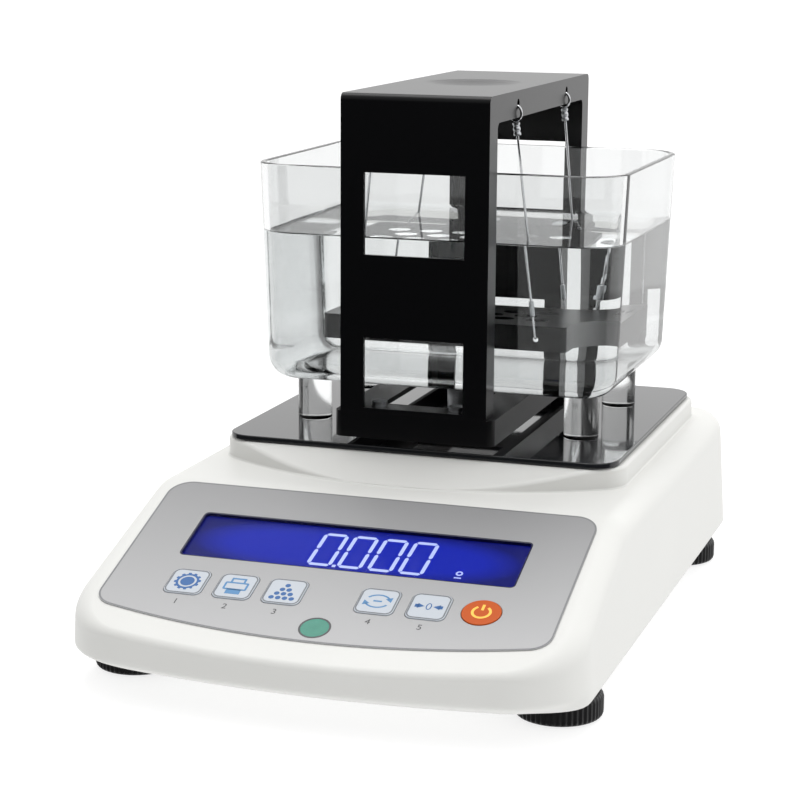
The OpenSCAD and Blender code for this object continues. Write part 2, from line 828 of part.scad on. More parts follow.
// Leaning box with round corners: half sizes of the corner axes, then its profile
module tank_form(ax, ay, r_foot, h, floor_r) {
    for (x = [-ax, ax], y = [-ay, ay]) translate([x, y, 0])
        rotate_extrude() tank_profile(r_foot, h, floor_r);
    for (s = [0, 1]) {
        span = s == 0 ? ay : ax;
        out = s == 0 ? ax : ay;
        rotate([0, 0, 90 * s]) translate([0, span, 0]) rotate([90, 0, 0]) linear_extrude(2 * span)
            for (m = [0, 1]) mirror([m, 0]) {
                translate([out, 0]) tank_profile(r_foot, h, floor_r);
                square([out + 0.01, h]);
            }
    }
}
module water_tank() {
    r_foot = tank_r - tank_draft;
    ax = tank_w / 2 - tank_r;
    ay = tank_l / 2 - tank_r;
    color([0.85, 0.92, 0.95, 0.35]) translate([0, pan_y, tank_z]) difference() {
        tank_form(ax, ay, r_foot, tank_h, tank_floor_r);
        translate([0, 0, tank_wall]) tank_form(ax, ay, r_foot - tank_wall + tank_wall * tank_tan,
            tank_h, tank_floor_r - tank_wall);
    }
}
module tank_legs() {
    color([0.85, 0.92, 0.95, 0.5])
        for (x = [-leg_x, leg_x], y = [-leg_y, leg_y])
            translate([x, pan_y + y, platform_top]) cylinder(h = leg_h, d = leg_d);
}

// ---- Weighing arch ----

// Folded base: a tray turned down, open in front of and behind its hub
module arch_base() {
    inner_r = base_r - sheet;
    color([0.05, 0.05, 0.05]) translate([0, pan_y, 0]) difference() {
        prism(base_z, arch_z) rounded_rect(base_w, arch_l, base_r);
        prism(base_z - bite, arch_z - sheet)
            rounded_rect(base_w - 2 * sheet, arch_l - 2 * sheet, inner_r);
        for (s = [-1, 1])
            translate([-base_opening[0] / 2, s * base_opening_y - base_opening[1] / 2,
                arch_z - sheet - bite])
                cube([base_opening[0], base_opening[1], sheet + 2 * bite]);
        translate([0, 0, arch_z - sheet - bite])
            cylinder(h = sheet + 2 * bite, d = hub_screw_d + fit);
        arch_screw_places() translate([0, 0, -sheet - bite])
            cylinder(h = sheet + 2 * bite, d = arch_screw_d);
    }
}
module hub_screw() {
    color([0.2, 0.2, 0.2]) translate([0, pan_y, arch_z + 2.5]) mirror([0, 0, 1])
        screw_up(hub_screw_d, sheet + 10, 9.5, 2.5);
}
// Screws through the arch's feet into the base, in the frame of the pan's centre
module arch_screw_places() {
    for (x = [-arch_screw_x, arch_screw_x], s = [-1, 1])
        translate([x, s * (arch_l / 2 - flange / 2 - 2), arch_z]) children();
}
module arch_screws() {
    color([0.2, 0.2, 0.2]) translate([0, pan_y, 0]) arch_screw_places()
        translate([0, 0, sheet + 2]) mirror([0, 0, 1])
            screw_up(arch_screw_d, 2 * sheet + 3, 7, 2);
}

// Side view of an arch of width w, from height y0 to y1, with round upper corners
module arch_outline(w, y0, y1, r) {
    translate([-w / 2, y0]) square([w, y1 - r - y0]);
    translate([r - w / 2, y0]) square([w - 2 * r, y1 - y0]);
    for (s = [-1, 1]) translate([s * (w / 2 - r), y1 - r]) circle(r);
}
// Prism of a side view, centred across the arch
module across(w) {
    translate([-w / 2, pan_y, arch_z]) rotate([90, 0, 90]) linear_extrude(w) children();
}
module weighing_arch() {
    color([0.05, 0.05, 0.05]) difference() {
        union() {
            difference() {
                across(arch_w) difference() {
                    arch_outline(arch_l, 0, arch_h, bend_r);
                    arch_outline(arch_l - 2 * flange, -bite, arch_h - flange, bend_r);
                }
                across(arch_w - 2 * sheet)
                    arch_outline(arch_l - 2 * sheet, sheet, arch_h - sheet, bend_r - sheet + 0.5);
            }
            translate([0, pan_y, arch_top - sheet - dish_back])
                cylinder(h = dish_back + sheet / 2, d = dish_d + 2);
        }
        dish_cut();
        panel_windows();
        lip_holes();
        translate([0, pan_y, 0]) arch_screw_places() translate([0, 0, -bite])
            cylinder(h = sheet + 2 * bite, d = arch_screw_d + fit);
    }
}
module dish_cut() {
    ball = (pow(dish_d / 2, 2) + pow(dish_depth, 2)) / (2 * dish_depth);
    translate([0, pan_y, arch_top - dish_depth + ball]) sphere(ball, $fn = 128);
}
module panel_windows() {
    for (z = [lower_opening, upper_opening])
        translate([-opening_w / 2, pan_y - arch_l / 2 - bite, arch_z + z[0]])
            cube([opening_w, arch_l + 2 * bite, z[1] - z[0]]);
}
module lip_holes() {
    for (y = [-lip_hole_y, lip_hole_y])
        translate([-arch_w / 2 - bite, pan_y + y, lip_hole_z]) rotate([0, 90, 0])
            cylinder(h = arch_w + 2 * bite, d = lip_hole_d);
}

// ---- Hanging tray and wires ----

module hanging_tray() {
    hole_z = tray_hook_z - (hook_hole_d - wire_d) / 2 + hang_gap;
    color([0.06, 0.06, 0.065]) translate([0, pan_y, 0]) difference() {
        prism(tray_top - tray_h, tray_top) rounded_rect(tray_w, tray_l, 3);
        prism(tray_top - tray_h - bite, tray_top - tray_sheet)
            rounded_rect(tray_w - 2 * tray_sheet, tray_l - 2 * tray_sheet, 1.5);
        tray_holes();
        for (x = [-tray_hook_x, tray_hook_x]) translate([x, -tray_l, hole_z])
            rotate([-90, 0, 0]) cylinder(h = 2 * tray_l, d = hook_hole_d);
    }
}
// Staggered rows of holes, kept clear of the rim
module tray_holes() {
    row = tray_pitch * sqrt(3) / 2;
    edge = tray_hole_d / 2 + 5;
    rows = floor((tray_l / 2 - edge) / row);
    for (j = [-rows:rows], i = [-8:8]) {
        x = (i + (j % 2 == 0 ? 0 : 0.5)) * tray_pitch;
        if (abs(x) < tray_w / 2 - edge)
            translate([x, j * row, tray_top - tray_sheet - bite])
                cylinder(h = tray_sheet + 2 * bite, d = tray_hole_d);
    }
}

// Points of one hanger on the right: ring through the lip, then wire to the tray's skirt
function ring_low() = [lip_x, lip_hole_y, ring_top - ring_drop];
function hook_point() = [tray_hook_x, hook_out, tray_hook_z];
// Straight rod between two points
module rod(a, b, d) {
    v = b - a;
    l = norm(v);
    translate(a) rotate([0, acos(v[2] / l), atan2(v[1], v[0])]) cylinder(h = l, d = d);
}
module hanger() {
    top_c = ring_top - ring_r;
    low_c = ring_top - ring_drop + ring_r;
    for (s = [-1, 1]) rod([lip_x + s * ring_r, lip_hole_y, low_c],
        [lip_x + s * ring_r, lip_hole_y, top_c], wire_d);
    translate([lip_x, lip_hole_y, top_c]) rotate([90, 0, 0])
        rotate_extrude(angle = 180) translate([ring_r, 0]) circle(d = wire_d);
    translate([lip_x, lip_hole_y, low_c]) rotate([90, 0, 180]) mirror([0, 1, 0])
        rotate_extrude(angle = 180) translate([ring_r, 0]) circle(d = wire_d);
    rod(ring_low(), hook_point(), wire_d);
    translate(hook_point()) sphere(d = 1.15 * wire_d);
    rod(hook_point(), hook_point() - [0, hook_in, 0], wire_d);
    translate(hook_point() - [0, hook_in, 0]) sphere(d = 1.15 * wire_d);
    rod(hook_point() - [0, hook_in, 0], hook_point() - [0, hook_in, -2.5], wire_d);
}
// Front and rear hangers of one side
module hanger_pair(side) {
    translate([0, pan_y, 0]) for (s = [0, 1]) mirror([side < 0 ? 1 : 0, 0, 0])
        mirror([0, s, 0]) children();
}
module ferrules() {
    dir = (hook_point() - ring_low()) / norm(hook_point() - ring_low());
    difference() {
        union() {
            rod(ring_low() + dir * 0.6, ring_low() + dir * (0.6 + ferrule_l), ferrule_d);
            rod(hook_point() - dir * (sleeve_up + sleeve_l), hook_point() - dir * sleeve_up, sleeve_d);
        }
        rod(ring_low() - dir, hook_point() + dir, wire_d);
    }
}

// ---- Feet ----

module foot_pad(i) {
    color([0.1, 0.1, 0.1]) translate([foot_places[i][0], foot_places[i][1], 0])
        cylinder(h = pad_t, d = pad_d);
}
// The knob hides most of the pad, which sits in a shallow recess under it
module foot_knob(i) {
    color([0.09, 0.09, 0.1]) translate([foot_places[i][0], foot_places[i][1], 0]) difference() {
        translate([0, 0, knob_low]) cylinder(h = knob_top - knob_low, d = knob_d);
        translate([0, 0, stud_low]) cylinder(h = knob_top, d = stud_d);
        translate([0, 0, knob_low - bite]) cylinder(h = pad_t - knob_low + bite, d = pad_d + 2 * fit);
        for (a = [0:30:359]) rotate([0, 0, a]) translate([knob_d / 2 + 0.8, 0, knob_low - bite])
            cylinder(h = knob_top + 2 * bite, d = 3);
    }
}
module foot_stud(i) {
    color([0.75, 0.76, 0.78])
        translate([foot_places[i][0], foot_places[i][1], stud_low])
            cylinder(h = stud_top - stud_low, d = stud_d);
}
module foot_inserts() {
    color([0.8, 0.65, 0.3]) for (p = foot_places) translate([p[0], p[1], cover_z])
        difference() {
            cylinder(h = insert_l, d = insert_d);
            translate([0, 0, -bite]) cylinder(h = insert_l + 2 * bite, d = stud_d + fit / 2);
        }
}

// ---- Nodes ----

upper_housing();
bottom_cover();
housing_screws();
control_overlay();
display_window();
lcd_module();
control_board();
board_screws();
function_key(1);  // function_key_1
function_key(2);  // function_key_2
function_key(3);  // function_key_3
function_key(4);  // function_key_4
function_key(5);  // function_key_5
power_key();
key_switches();
level_vial();
vial_cap();
load_cell();
load_cell_spacers();
load_cell_bolts();
pan_support();
main_board();
main_board_screws();
dc_inlet();
serial_port();
tank_platform();
platform_pegs();
arch_base();
hub_screw();
weighing_arch();
arch_screws();
water_tank();
tank_legs();
hanging_tray();
color("silver") hanger_pair(-1) hanger();  // hangers_left
color("silver") hanger_pair(1) hanger();  // hangers_right
color("silver") hanger_pair(-1) ferrules();  // ferrules_left
color("silver") hanger_pair(1) ferrules();  // ferrules_right
foot_pad(0);  // foot_pad_fl
foot_pad(1);  // foot_pad_fr
foot_pad(2);  // foot_pad_rl
foot_pad(3);  // foot_pad_rr
foot_knob(0);  // foot_knob_fl
foot_knob(1);  // foot_knob_fr
foot_knob(2);  // foot_knob_rl
foot_knob(3);  // foot_knob_rr
foot_stud(0);  // foot_stud_fl
foot_stud(1);  // foot_stud_fr
foot_stud(2);  // foot_stud_rl
foot_stud(3);  // foot_stud_rr
foot_inserts();
ribbon_cable();
cell_cable();
port_wires();
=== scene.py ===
# %% [markdown]
# # A benchtop density meter, finished in Blender
# The instrument is a balance with a clear water tank on its platform. A folded black arch
# straddles the tank and carries a perforated tray on four wires, so that a sample can be
# weighed in air on the arch and then under water on the tray.
#
# The working model already holds every part at its real size. Here the parts that show get
# their true surface: soft mouldings, polished acrylic, water, powder coat and print.

# %% Load the working model
import math

import bmesh
import bpy
import numpy as np
from mathutils import Matrix, Vector


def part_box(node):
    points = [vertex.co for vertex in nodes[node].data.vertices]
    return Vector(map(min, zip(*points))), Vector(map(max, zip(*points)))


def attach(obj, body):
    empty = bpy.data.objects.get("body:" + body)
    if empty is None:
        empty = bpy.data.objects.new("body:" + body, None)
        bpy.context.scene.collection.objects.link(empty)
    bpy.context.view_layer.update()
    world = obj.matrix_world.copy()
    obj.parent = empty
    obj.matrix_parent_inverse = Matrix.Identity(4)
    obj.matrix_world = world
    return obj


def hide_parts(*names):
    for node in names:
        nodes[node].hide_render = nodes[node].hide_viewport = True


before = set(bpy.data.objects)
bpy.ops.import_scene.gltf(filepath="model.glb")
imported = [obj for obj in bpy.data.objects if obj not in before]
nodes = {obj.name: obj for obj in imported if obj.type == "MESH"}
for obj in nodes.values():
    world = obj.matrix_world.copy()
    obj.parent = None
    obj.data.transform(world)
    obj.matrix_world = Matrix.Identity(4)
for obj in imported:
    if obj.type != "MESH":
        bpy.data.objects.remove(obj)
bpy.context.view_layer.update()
mm = 0.001
print("parts in the model:", len(nodes))


# %% Add an object
def new_object(name, data):
    """An object with this data, linked to the scene."""
    made = bpy.data.objects.new(name, data)
    bpy.context.scene.collection.objects.link(made)
    return made


# %% [markdown]
# ## The camera
# A product photograph like this one is taken from a few metres away with a long lens, so
# that the far end of the housing hardly shrinks. The camera stands to the right and looks
# down a little. Its place and turn are written as real sizes and angles.

# %% Place the camera
camera_place = np.array([292.7, -920.8, 303.8]) * mm
camera_yaw, camera_pitch, camera_roll = (math.radians(a) for a in (18.39, 12.0, 0.36))
camera_data = bpy.data.cameras.new("camera")
camera_data.lens = 98.5
camera_data.sensor_width = 36
camera_data.clip_end = 20
camera = new_object("camera", camera_data)
yaw_turn = Matrix.Rotation(camera_yaw, 4, "Z")
pitch_turn = Matrix.Rotation(math.pi / 2 - camera_pitch, 4, "X")
roll_turn = Matrix.Rotation(camera_roll, 4, "Z")
camera.matrix_world = Matrix.Translation(camera_place) @ yaw_turn @ pitch_turn @ roll_turn
bpy.context.scene.camera = camera

# %% [markdown]
# ## Meshes from arrays
# Nearly every surface here is a stack of rings: each ring is one closed outline with the
# same number of points, and neighbouring rings are joined by four-sided faces. The rings
# are worked out as whole arrays, so a shape is a formula and not a list of points.


# %% Turn an array of rings into a mesh
weld_distance = 0.002 * mm


def tidy_mesh(piece, outward=True):
    """Welds points that meet and, if asked, turns the faces outward."""
    work = bmesh.new()
    work.from_mesh(piece.data)
    bmesh.ops.remove_doubles(work, verts=work.verts, dist=weld_distance)
    if outward:
        bmesh.ops.recalc_face_normals(work, faces=work.faces)
    work.to_mesh(piece.data)
    work.free()


def weigh_normals(piece):
    """Lets large flat faces keep their own direction, so that only the rounds shade softly."""
    weigh = piece.modifiers.new("flat_faces", "WEIGHTED_NORMAL")
    weigh.keep_sharp = True
    weigh.weight = 100


def shade(piece, flat_angle):
    """Shades a piece softly, except across edges sharper than the angle."""
    piece.data.shade_smooth()
    piece.data.set_sharp_from_angle(angle=math.radians(flat_angle))
    weigh_normals(piece)


def ring_faces(ring_count, around, closed):
    """Four corners for each face between ring i and i + 1, wrapped round the outline."""
    near = np.arange(ring_count if closed else ring_count - 1)[:, None] * around
    far = (near + around) % (ring_count * around)
    here = np.arange(around)
    there = (here + 1) % around
    corners = [near + here, near + there, far + there, far + here]
    return np.stack(corners, axis=-1).reshape(-1, 4)


def loft(name, rings, closed=False, flat_angle=35):
    """A skin over the rings. Closed joins the last ring to the first, else both ends get a lid."""
    rings = np.asarray(rings, float)
    count, around = rings.shape[:2]
    faces = ring_faces(count, around, closed).tolist()
    if not closed:
        faces.append(list(range(around))[::-1])
        faces.append(list(range((count - 1) * around, count * around)))
    mesh = bpy.data.meshes.new(name)
    mesh.from_pydata(rings.reshape(-1, 3).tolist(), [], faces)
    mesh.validate()
    piece = new_object(name, mesh)
    tidy_mesh(piece)
    shade(piece, flat_angle)
    return piece


# %% [markdown]
# ## Outlines
# A rounded rectangle is four quarter circles. The housing, the plateau and the printed film
# share a second outline: straight sides and rear, and a front edge that bows forward as
# one large arc. Each outline also gives its outward directions, because moving a point
# along them is how walls, rounds and rims are made.


# %% Outlines with their outward directions
def arc(centre, radius, start, end, count):
    """Points on an arc and their outward directions, without the last one."""
    angle = np.linspace(start, end, count, endpoint=False)
    away = np.stack([np.cos(angle), np.sin(angle)], axis=-1)
    return np.asarray(centre) + radius * away, away


def straight(start, end, away, count):
    """Evenly spaced points from start towards end, all with one outward direction."""
    share = np.linspace(0, 1, count, endpoint=False)[:, None]
    points = np.asarray(start) * (1 - share) + np.asarray(end) * share
    return points, np.tile(away, (count, 1))


def rounded_rectangle(half_x, half_y, radius, corner_steps=10):
    """Four quarter circles about the corner centres, anticlockwise from the right side."""
    quarter = np.linspace(0, math.pi / 2, corner_steps)
    angle = (np.arange(4)[:, None] * math.pi / 2 + quarter).ravel()
    away = np.stack([np.cos(angle), np.sin(angle)], axis=-1)
    centres = np.array([[1, 1], [-1, 1], [-1, -1], [1, -1]]) * [half_x - radius, half_y - radius]
    return centres.repeat(corner_steps, axis=0) + radius * away, away


def bowed_outline(half, length, bow, front_round, rear_round, side_steps=70):
    """Rear edge on y = 0 and the apex of the bow at y = -length. The bow's radius follows
    from its rise, and its arc meets each corner's arc where both share one direction."""
    radius = (half**2 + bow**2) / (2 * bow)
    bow_y = radius - length
    corner_x = half - front_round
    corner_y = bow_y - math.sqrt((radius - front_round) ** 2 - corner_x**2)
    meet = math.atan2(corner_y - bow_y, -corner_x) + 2 * math.pi
    rear_x = half - rear_round
    corner_steps, rear_steps, front_steps = 14, 24, 40
    stretches = [
        straight((half, corner_y), (half, -rear_round), (1, 0), side_steps),
        arc((rear_x, -rear_round), rear_round, 0, math.pi / 2, corner_steps),
        straight((rear_x, 0), (-rear_x, 0), (0, 1), rear_steps),
        arc((-rear_x, -rear_round), rear_round, math.pi / 2, math.pi, corner_steps),
        straight((-half, -rear_round), (-half, corner_y), (-1, 0), side_steps),
        arc((-corner_x, corner_y), front_round, math.pi, meet, corner_steps),
        arc((0, bow_y), radius, meet, 3 * math.pi - meet, front_steps),
        arc((corner_x, corner_y), front_round, 3 * math.pi - meet, 2 * math.pi, corner_steps),
    ]
    points, away = zip(*stretches)
    return np.concatenate(points), np.concatenate(away)


def level(outline, height):
    """An outline as a ring, at one height or with a height for each point."""
    return np.column_stack([outline, np.broadcast_to(height, len(outline))])


# %% [markdown]
# ## Materials
# Each finish starts as a Principled shader with the values that its real material has. One
# function adds a node, with its settings and its links, and a second one reads colours as
# they are written for screens and turns them to the linear values that light needs.


# %% Colour and node helpers
def srgb(code):
    """Linear red, green and blue of an sRGB hex code, with an alpha of 1."""
    values = np.array([int(code[i : i + 2], 16) for i in (1, 3, 5)]) / 255
    linear = np.where(values <= 0.04045, values / 12.92, ((values + 0.055) / 1.055) ** 2.4)
    return (*(float(v) for v in linear), 1.0)


def add_node(material, kind, inputs=None, links=None, **settings):
    """Adds a shader node, sets its options and inputs, and links other nodes' outputs to it."""
    made = material.node_tree.nodes.new(kind)
    for key, value in settings.items():
        setattr(made, key, value)
    for key, value in (inputs or {}).items():
        made.inputs[key].default_value = value
    for key, source in (links or {}).items():
        material.node_tree.links.new(source, made.inputs[key])
    return made


def new_material(name, **inputs):
    """A material with one Principled shader, whose inputs are given by name."""
    material = bpy.data.materials.new(name)
    material.use_nodes = True
    shader = material.node_tree.nodes["Principled BSDF"]
    for key, value in inputs.items():
        shader.inputs[key.replace("_", " ")].default_value = value
    return material, shader


def join(material, output, socket):
    """Links an output to an input of this material."""
    material.node_tree.links.new(output, socket)


def grain(material, shader, size, depth, stretch=(1, 1, 1), detail=3.0):
    """A bump of soft noise whose lumps are size across and depth high, both real lengths."""
    place = add_node(material, "ShaderNodeTexCoord")
    scaled = add_node(
        material, "ShaderNodeMapping", {"Scale": stretch}, {"Vector": place.outputs["Object"]}
    )
    noise = add_node(
        material, "ShaderNodeTexNoise", {"Scale": 1 / size, "Detail": detail},
        {"Vector": scaled.outputs["Vector"]},
    )
    bump = add_node(
        material, "ShaderNodeBump", {"Distance": depth}, {"Height": noise.outputs["Fac"]}
    )
    join(material, bump.outputs["Normal"], shader.inputs["Normal"])
    return noise


def vary_colour(material, shader, low, high, noise):
    """Lets the base colour drift between two close shades along a noise."""
    ramp = add_node(material, "ShaderNodeValToRGB", links={"Fac": noise.outputs["Fac"]})
    for stop, position, code in zip(ramp.color_ramp.elements, (0.3, 0.7), (low, high)):
        stop.position, stop.color = position, srgb(code)
    join(material, ramp.outputs["Color"], shader.inputs["Base Color"])


def grained(name, low, high, size, depth, stretch=(1, 1, 1), detail=3.0, **inputs):
    """A finish with a grain of real size and a colour that drifts between two close shades."""
    material, shader = new_material(name, **inputs)
    noise = grain(material, shader, size, depth, stretch, detail)
    vary_colour(material, shader, low, high, noise)
    return material


# %% [markdown]
# ### Plastics
# The housing is injection-moulded ABS: warm light grey, with the fine spark texture that
# hides flow marks. It is half matt, so the light rolls softly over its rounds, and handling
# has left some patches a little shinier than others.

# %% Moulded plastics
housing_abs, shader = new_material(
    "housing_abs", Roughness=0.42, IOR=1.5, Specular_IOR_Level=0.2
)
grain(housing_abs, shader, size=0.5 * mm, depth=0.012 * mm)
place = add_node(housing_abs, "ShaderNodeTexCoord")
slow = add_node(
    housing_abs, "ShaderNodeTexNoise", {"Scale": 1 / (60 * mm), "Detail": 2.0},
    {"Vector": place.outputs["Object"]},
)
vary_colour(housing_abs, shader, "#D8D8D5", "#DBDBD8", slow)
worn = add_node(
    housing_abs, "ShaderNodeMapRange",
    {"From Min": 0.3, "From Max": 0.7, "To Min": 0.38, "To Max": 0.46},
    {"Value": slow.outputs["Fac"]},
)
join(housing_abs, worn.outputs["Result"], shader.inputs["Roughness"])

cover_abs = grained("cover_abs", "#CACAC5", "#D2D2CE", 0.9 * mm, 0.02 * mm, Roughness=0.5)
key_abs = grained(
    "key_abs", "#B6BCC4", "#BBC1C8", 0.4 * mm, 0.006 * mm, Roughness=0.35, IOR=1.5
)
power_abs = grained(
    "power_abs", "#B94C02", "#BD5106", 0.4 * mm, 0.006 * mm,
    Roughness=0.32, IOR=1.5, Specular_IOR_Level=0.25,
)
knob_nylon = grained(
    "knob_nylon", "#121213", "#1A1A1B", 0.6 * mm, 0.02 * mm, Roughness=0.5, IOR=1.53
)
pad_rubber = grained(
    "pad_rubber", "#141414", "#1C1C1C", 0.8 * mm, 0.04 * mm, Roughness=0.75, IOR=1.52
)
socket_pbt = grained("socket_pbt", "#101011", "#171718", 0.5 * mm, 0.01 * mm, Roughness=0.4)
cable_pvc = grained("cable_pvc", "#6A6B6E", "#77787A", 1.0 * mm, 0.02 * mm, Roughness=0.45)

# %% [markdown]
# ### The printed film
# The control panel is a polyester film with silver-grey ink on its back. Its colour is painted
# a little darker towards its upper edge, as painted shade, and its surface is finely matt.
# Inks for the border and the signs lie in their own thin layers.

# %% Film and inks
film_polyester, shader = new_material("film_polyester", Roughness=0.32, IOR=1.57)
grain(film_polyester, shader, size=0.3 * mm, depth=0.004 * mm)
place = add_node(film_polyester, "ShaderNodeTexCoord")
split = add_node(
    film_polyester, "ShaderNodeSeparateXYZ", links={"Vector": place.outputs["Object"]}
)
# Painted shade: the film's base colour runs from a lighter grey at its lower edge to a darker grey
# at its upper edge.
film_low, film_high = (corner.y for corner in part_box("control_overlay"))
uphill = add_node(
    film_polyester, "ShaderNodeMapRange", {"From Min": film_low, "From Max": film_high},
    {"Value": split.outputs["Y"]},
)
painted_shade_ramp = add_node(film_polyester, "ShaderNodeValToRGB", links={"Fac": uphill.outputs["Result"]})
painted_shade_ramp.color_ramp.elements[0].color = srgb("#ABABAC")
painted_shade_ramp.color_ramp.elements[1].color = srgb("#8B8B8C")
join(film_polyester, painted_shade_ramp.outputs["Color"], shader.inputs["Base Color"])


def ink(name, code, roughness=0.4):
    """Screen-printed ink: one colour with a faint mottle from the mesh it is pressed through."""
    material, shader = new_material(name, Base_Color=srgb(code), Roughness=roughness)
    grain(material, shader, size=0.25 * mm, depth=0.004 * mm)
    return material


ink_dark = ink("ink_dark", "#3C3D3F")
ink_grey = ink("ink_grey", "#6A6E73")
ink_edge = ink("ink_edge", "#77787A")
ink_blue = ink("ink_blue", "#145796")
ink_sky = ink("ink_sky", "#4880B0")
ink_yellow = ink("ink_yellow", "#FFC447")
ink_navy = ink("ink_navy", "#0B0D36", 0.25)

# %% [markdown]
# ### Display
# The display is a negative liquid crystal with a blue backlight: the field glows deep blue,
# brighter in the middle, and the digits let the white light through.

# %% Backlit display
display_glow, shader = new_material(
    "display_glow", Base_Color=srgb("#05061C"), Roughness=0.4, Specular_IOR_Level=0.1,
    Emission_Strength=1.0,
)
place = add_node(display_glow, "ShaderNodeTexCoord")
split = add_node(
    display_glow, "ShaderNodeSeparateXYZ", links={"Vector": place.outputs["Object"]}
)
lens_low, lens_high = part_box("display_window")
half_window = (lens_high.x - lens_low.x) / 2
sideways = add_node(
    display_glow, "ShaderNodeMath", {1: half_window}, {0: split.outputs["X"]}, operation="DIVIDE"
)
upward = add_node(
    display_glow, "ShaderNodeMapRange",
    {"From Min": lens_low.y, "From Max": lens_high.y, "To Min": -1.0, "To Max": 1.0},
    {"Value": split.outputs["Y"]},
)
parts = []
for share, power in ((sideways.outputs[0], 4.0), (upward.outputs[0], 2.0)):
    far = add_node(display_glow, "ShaderNodeMath", links={0: share}, operation="ABSOLUTE")
    raised = add_node(
        display_glow, "ShaderNodeMath", {1: power}, {0: far.outputs[0]}, operation="POWER"
    )
    parts.append(raised.outputs[0])
edge = add_node(
    display_glow, "ShaderNodeMath", links={0: parts[0], 1: parts[1]}, operation="ADD"
)
glow = add_node(display_glow, "ShaderNodeValToRGB", links={"Fac": edge.outputs[0]})
glow.color_ramp.elements[0].color = srgb("#0F23AE")
glow.color_ramp.elements[0].position = 0.35
glow.color_ramp.elements[1].color = srgb("#0A1066")
join(display_glow, glow.outputs["Color"], shader.inputs["Emission Color"])

digit_light, shader = new_material(
    "digit_light", Base_Color=srgb("#3A3F66"), Roughness=0.3,
    Emission_Color=srgb("#C3D0FA"), Emission_Strength=1.0,
)
grain(digit_light, shader, size=0.3 * mm, depth=0.003 * mm)

# %% [markdown]
# ### Acrylic and water
# The tank is moulded clear acrylic, which bends light a little more than water does. The
# water touches the wall, so its mesh reaches a hair into the wall: light then goes straight
# from acrylic to water, with no film of air that would turn the wall to a mirror.


# %% Clear, black and green acrylic, and water
def clear(name, code, roughness, ior, **inputs):
    """A clear finish: light passes through and bends by its IOR."""
    return new_material(
        name, Base_Color=srgb(code), Roughness=roughness, IOR=ior, Transmission_Weight=1.0,
        **inputs,
    )[0]


acrylic_clear = clear("acrylic_clear", "#EDEEEE", 0.0, 1.49)
water_clear = clear("water_clear", "#FEFFFF", 0.0, 1.333, Specular_Tint=(0.1, 0.1, 0.1, 1))
acrylic_rod = clear("acrylic_rod", "#F4F5F5", 0.16, 1.49)
lens_acrylic = clear("lens_acrylic", "#F2F4FD", 0.02, 1.06)
acrylic_black = grained(
    "acrylic_black", "#18191B", "#1B1C1F", 45 * mm, 0.01 * mm, detail=1.0,
    Roughness=0.04, IOR=1.49,
)
vial_green = grained(
    "vial_green", "#237D69", "#2B8671", 4 * mm, 0.005 * mm,
    Roughness=0.2, IOR=1.49, Coat_Weight=0.5, Coat_Roughness=0.05,
)

# %% [markdown]
# ### Metal
# Arch, base and tray are folded steel under a satin black powder coat, which has the fine
# orange-peel of fused powder. The hangers are bright stainless wire, and screws are zinc
# plated.

# %% Powder coat, wire, screws, aluminium and brass
powder_coat = grained(
    "powder_coat", "#050506", "#08080A", 0.7 * mm, 0.014 * mm,
    Roughness=0.28, IOR=1.5, Specular_IOR_Level=0.25,
)
bare = {"Metallic": 1.0}
stainless_wire = grained(
    "stainless_wire", "#C9CACC", "#DCDDDF", 0.6 * mm, 0.005 * mm, Roughness=0.18, **bare
)
zinc_steel = grained(
    "zinc_steel", "#B4B7BA", "#C6C8CB", 0.7 * mm, 0.01 * mm, Roughness=0.3, **bare
)
milled_aluminium = grained(
    "milled_aluminium", "#C2C4C6", "#D0D2D4", 0.5 * mm, 0.01 * mm, (1, 12, 1),
    Roughness=0.32, **bare,
)
turned_brass = grained(
    "turned_brass", "#B8954A", "#CBAA5E", 0.4 * mm, 0.01 * mm, (1, 1, 8),
    Roughness=0.28, **bare,
)
solder_mask = grained(
    "solder_mask", "#0E5A2A", "#126832", 2.0 * mm, 0.02 * mm, Roughness=0.35, IOR=1.55
)

# %% [markdown]
# ### Which part wears which finish
# Parts that keep their working mesh get a finish here. The screws, boards and load cell
# inside the housing hardly ever show, but they are there when someone takes it apart.

# %% Give every working part its finish
finishes = [
    (zinc_steel, "housing_screws board_screws load_cell_bolts pan_support main_board_screws"),
    (zinc_steel, "serial_port hub_screw arch_screws"),
    (zinc_steel, "foot_stud_fl foot_stud_fr foot_stud_rl foot_stud_rr"),
    (film_polyester, "control_overlay"),
    (display_glow, "lcd_module"),
    (solder_mask, "control_board main_board"),
    (socket_pbt, "key_switches dc_inlet platform_pegs"),
    (vial_green, "level_vial vial_cap"),
    (milled_aluminium, "load_cell load_cell_spacers"),
    (turned_brass, "foot_inserts"),
    (cable_pvc, "ribbon_cable cell_cable port_wires"),
]
for material, names in finishes:
    for name in names.split():
        mesh = nodes[name].data
        mesh.materials.clear()
        mesh.materials.append(material)


def finish(piece, body, slot, material, *replaced):
    """Gives a piece its finish and the body it moves with, and hides the part it stands for.
    The slot is not used.
    """
    piece.data.materials.clear()
    piece.data.materials.append(material)
    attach(piece, body)
    if replaced:
        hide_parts(*replaced)


# %% [markdown]
# ## Softened copies
# Sheet metal and small mouldings have the right shape already, but their working edges are
# knife sharp. A copy is welded, its flat faces are joined, and every sharp edge gets a
# narrow round, because real edges catch a line of light.


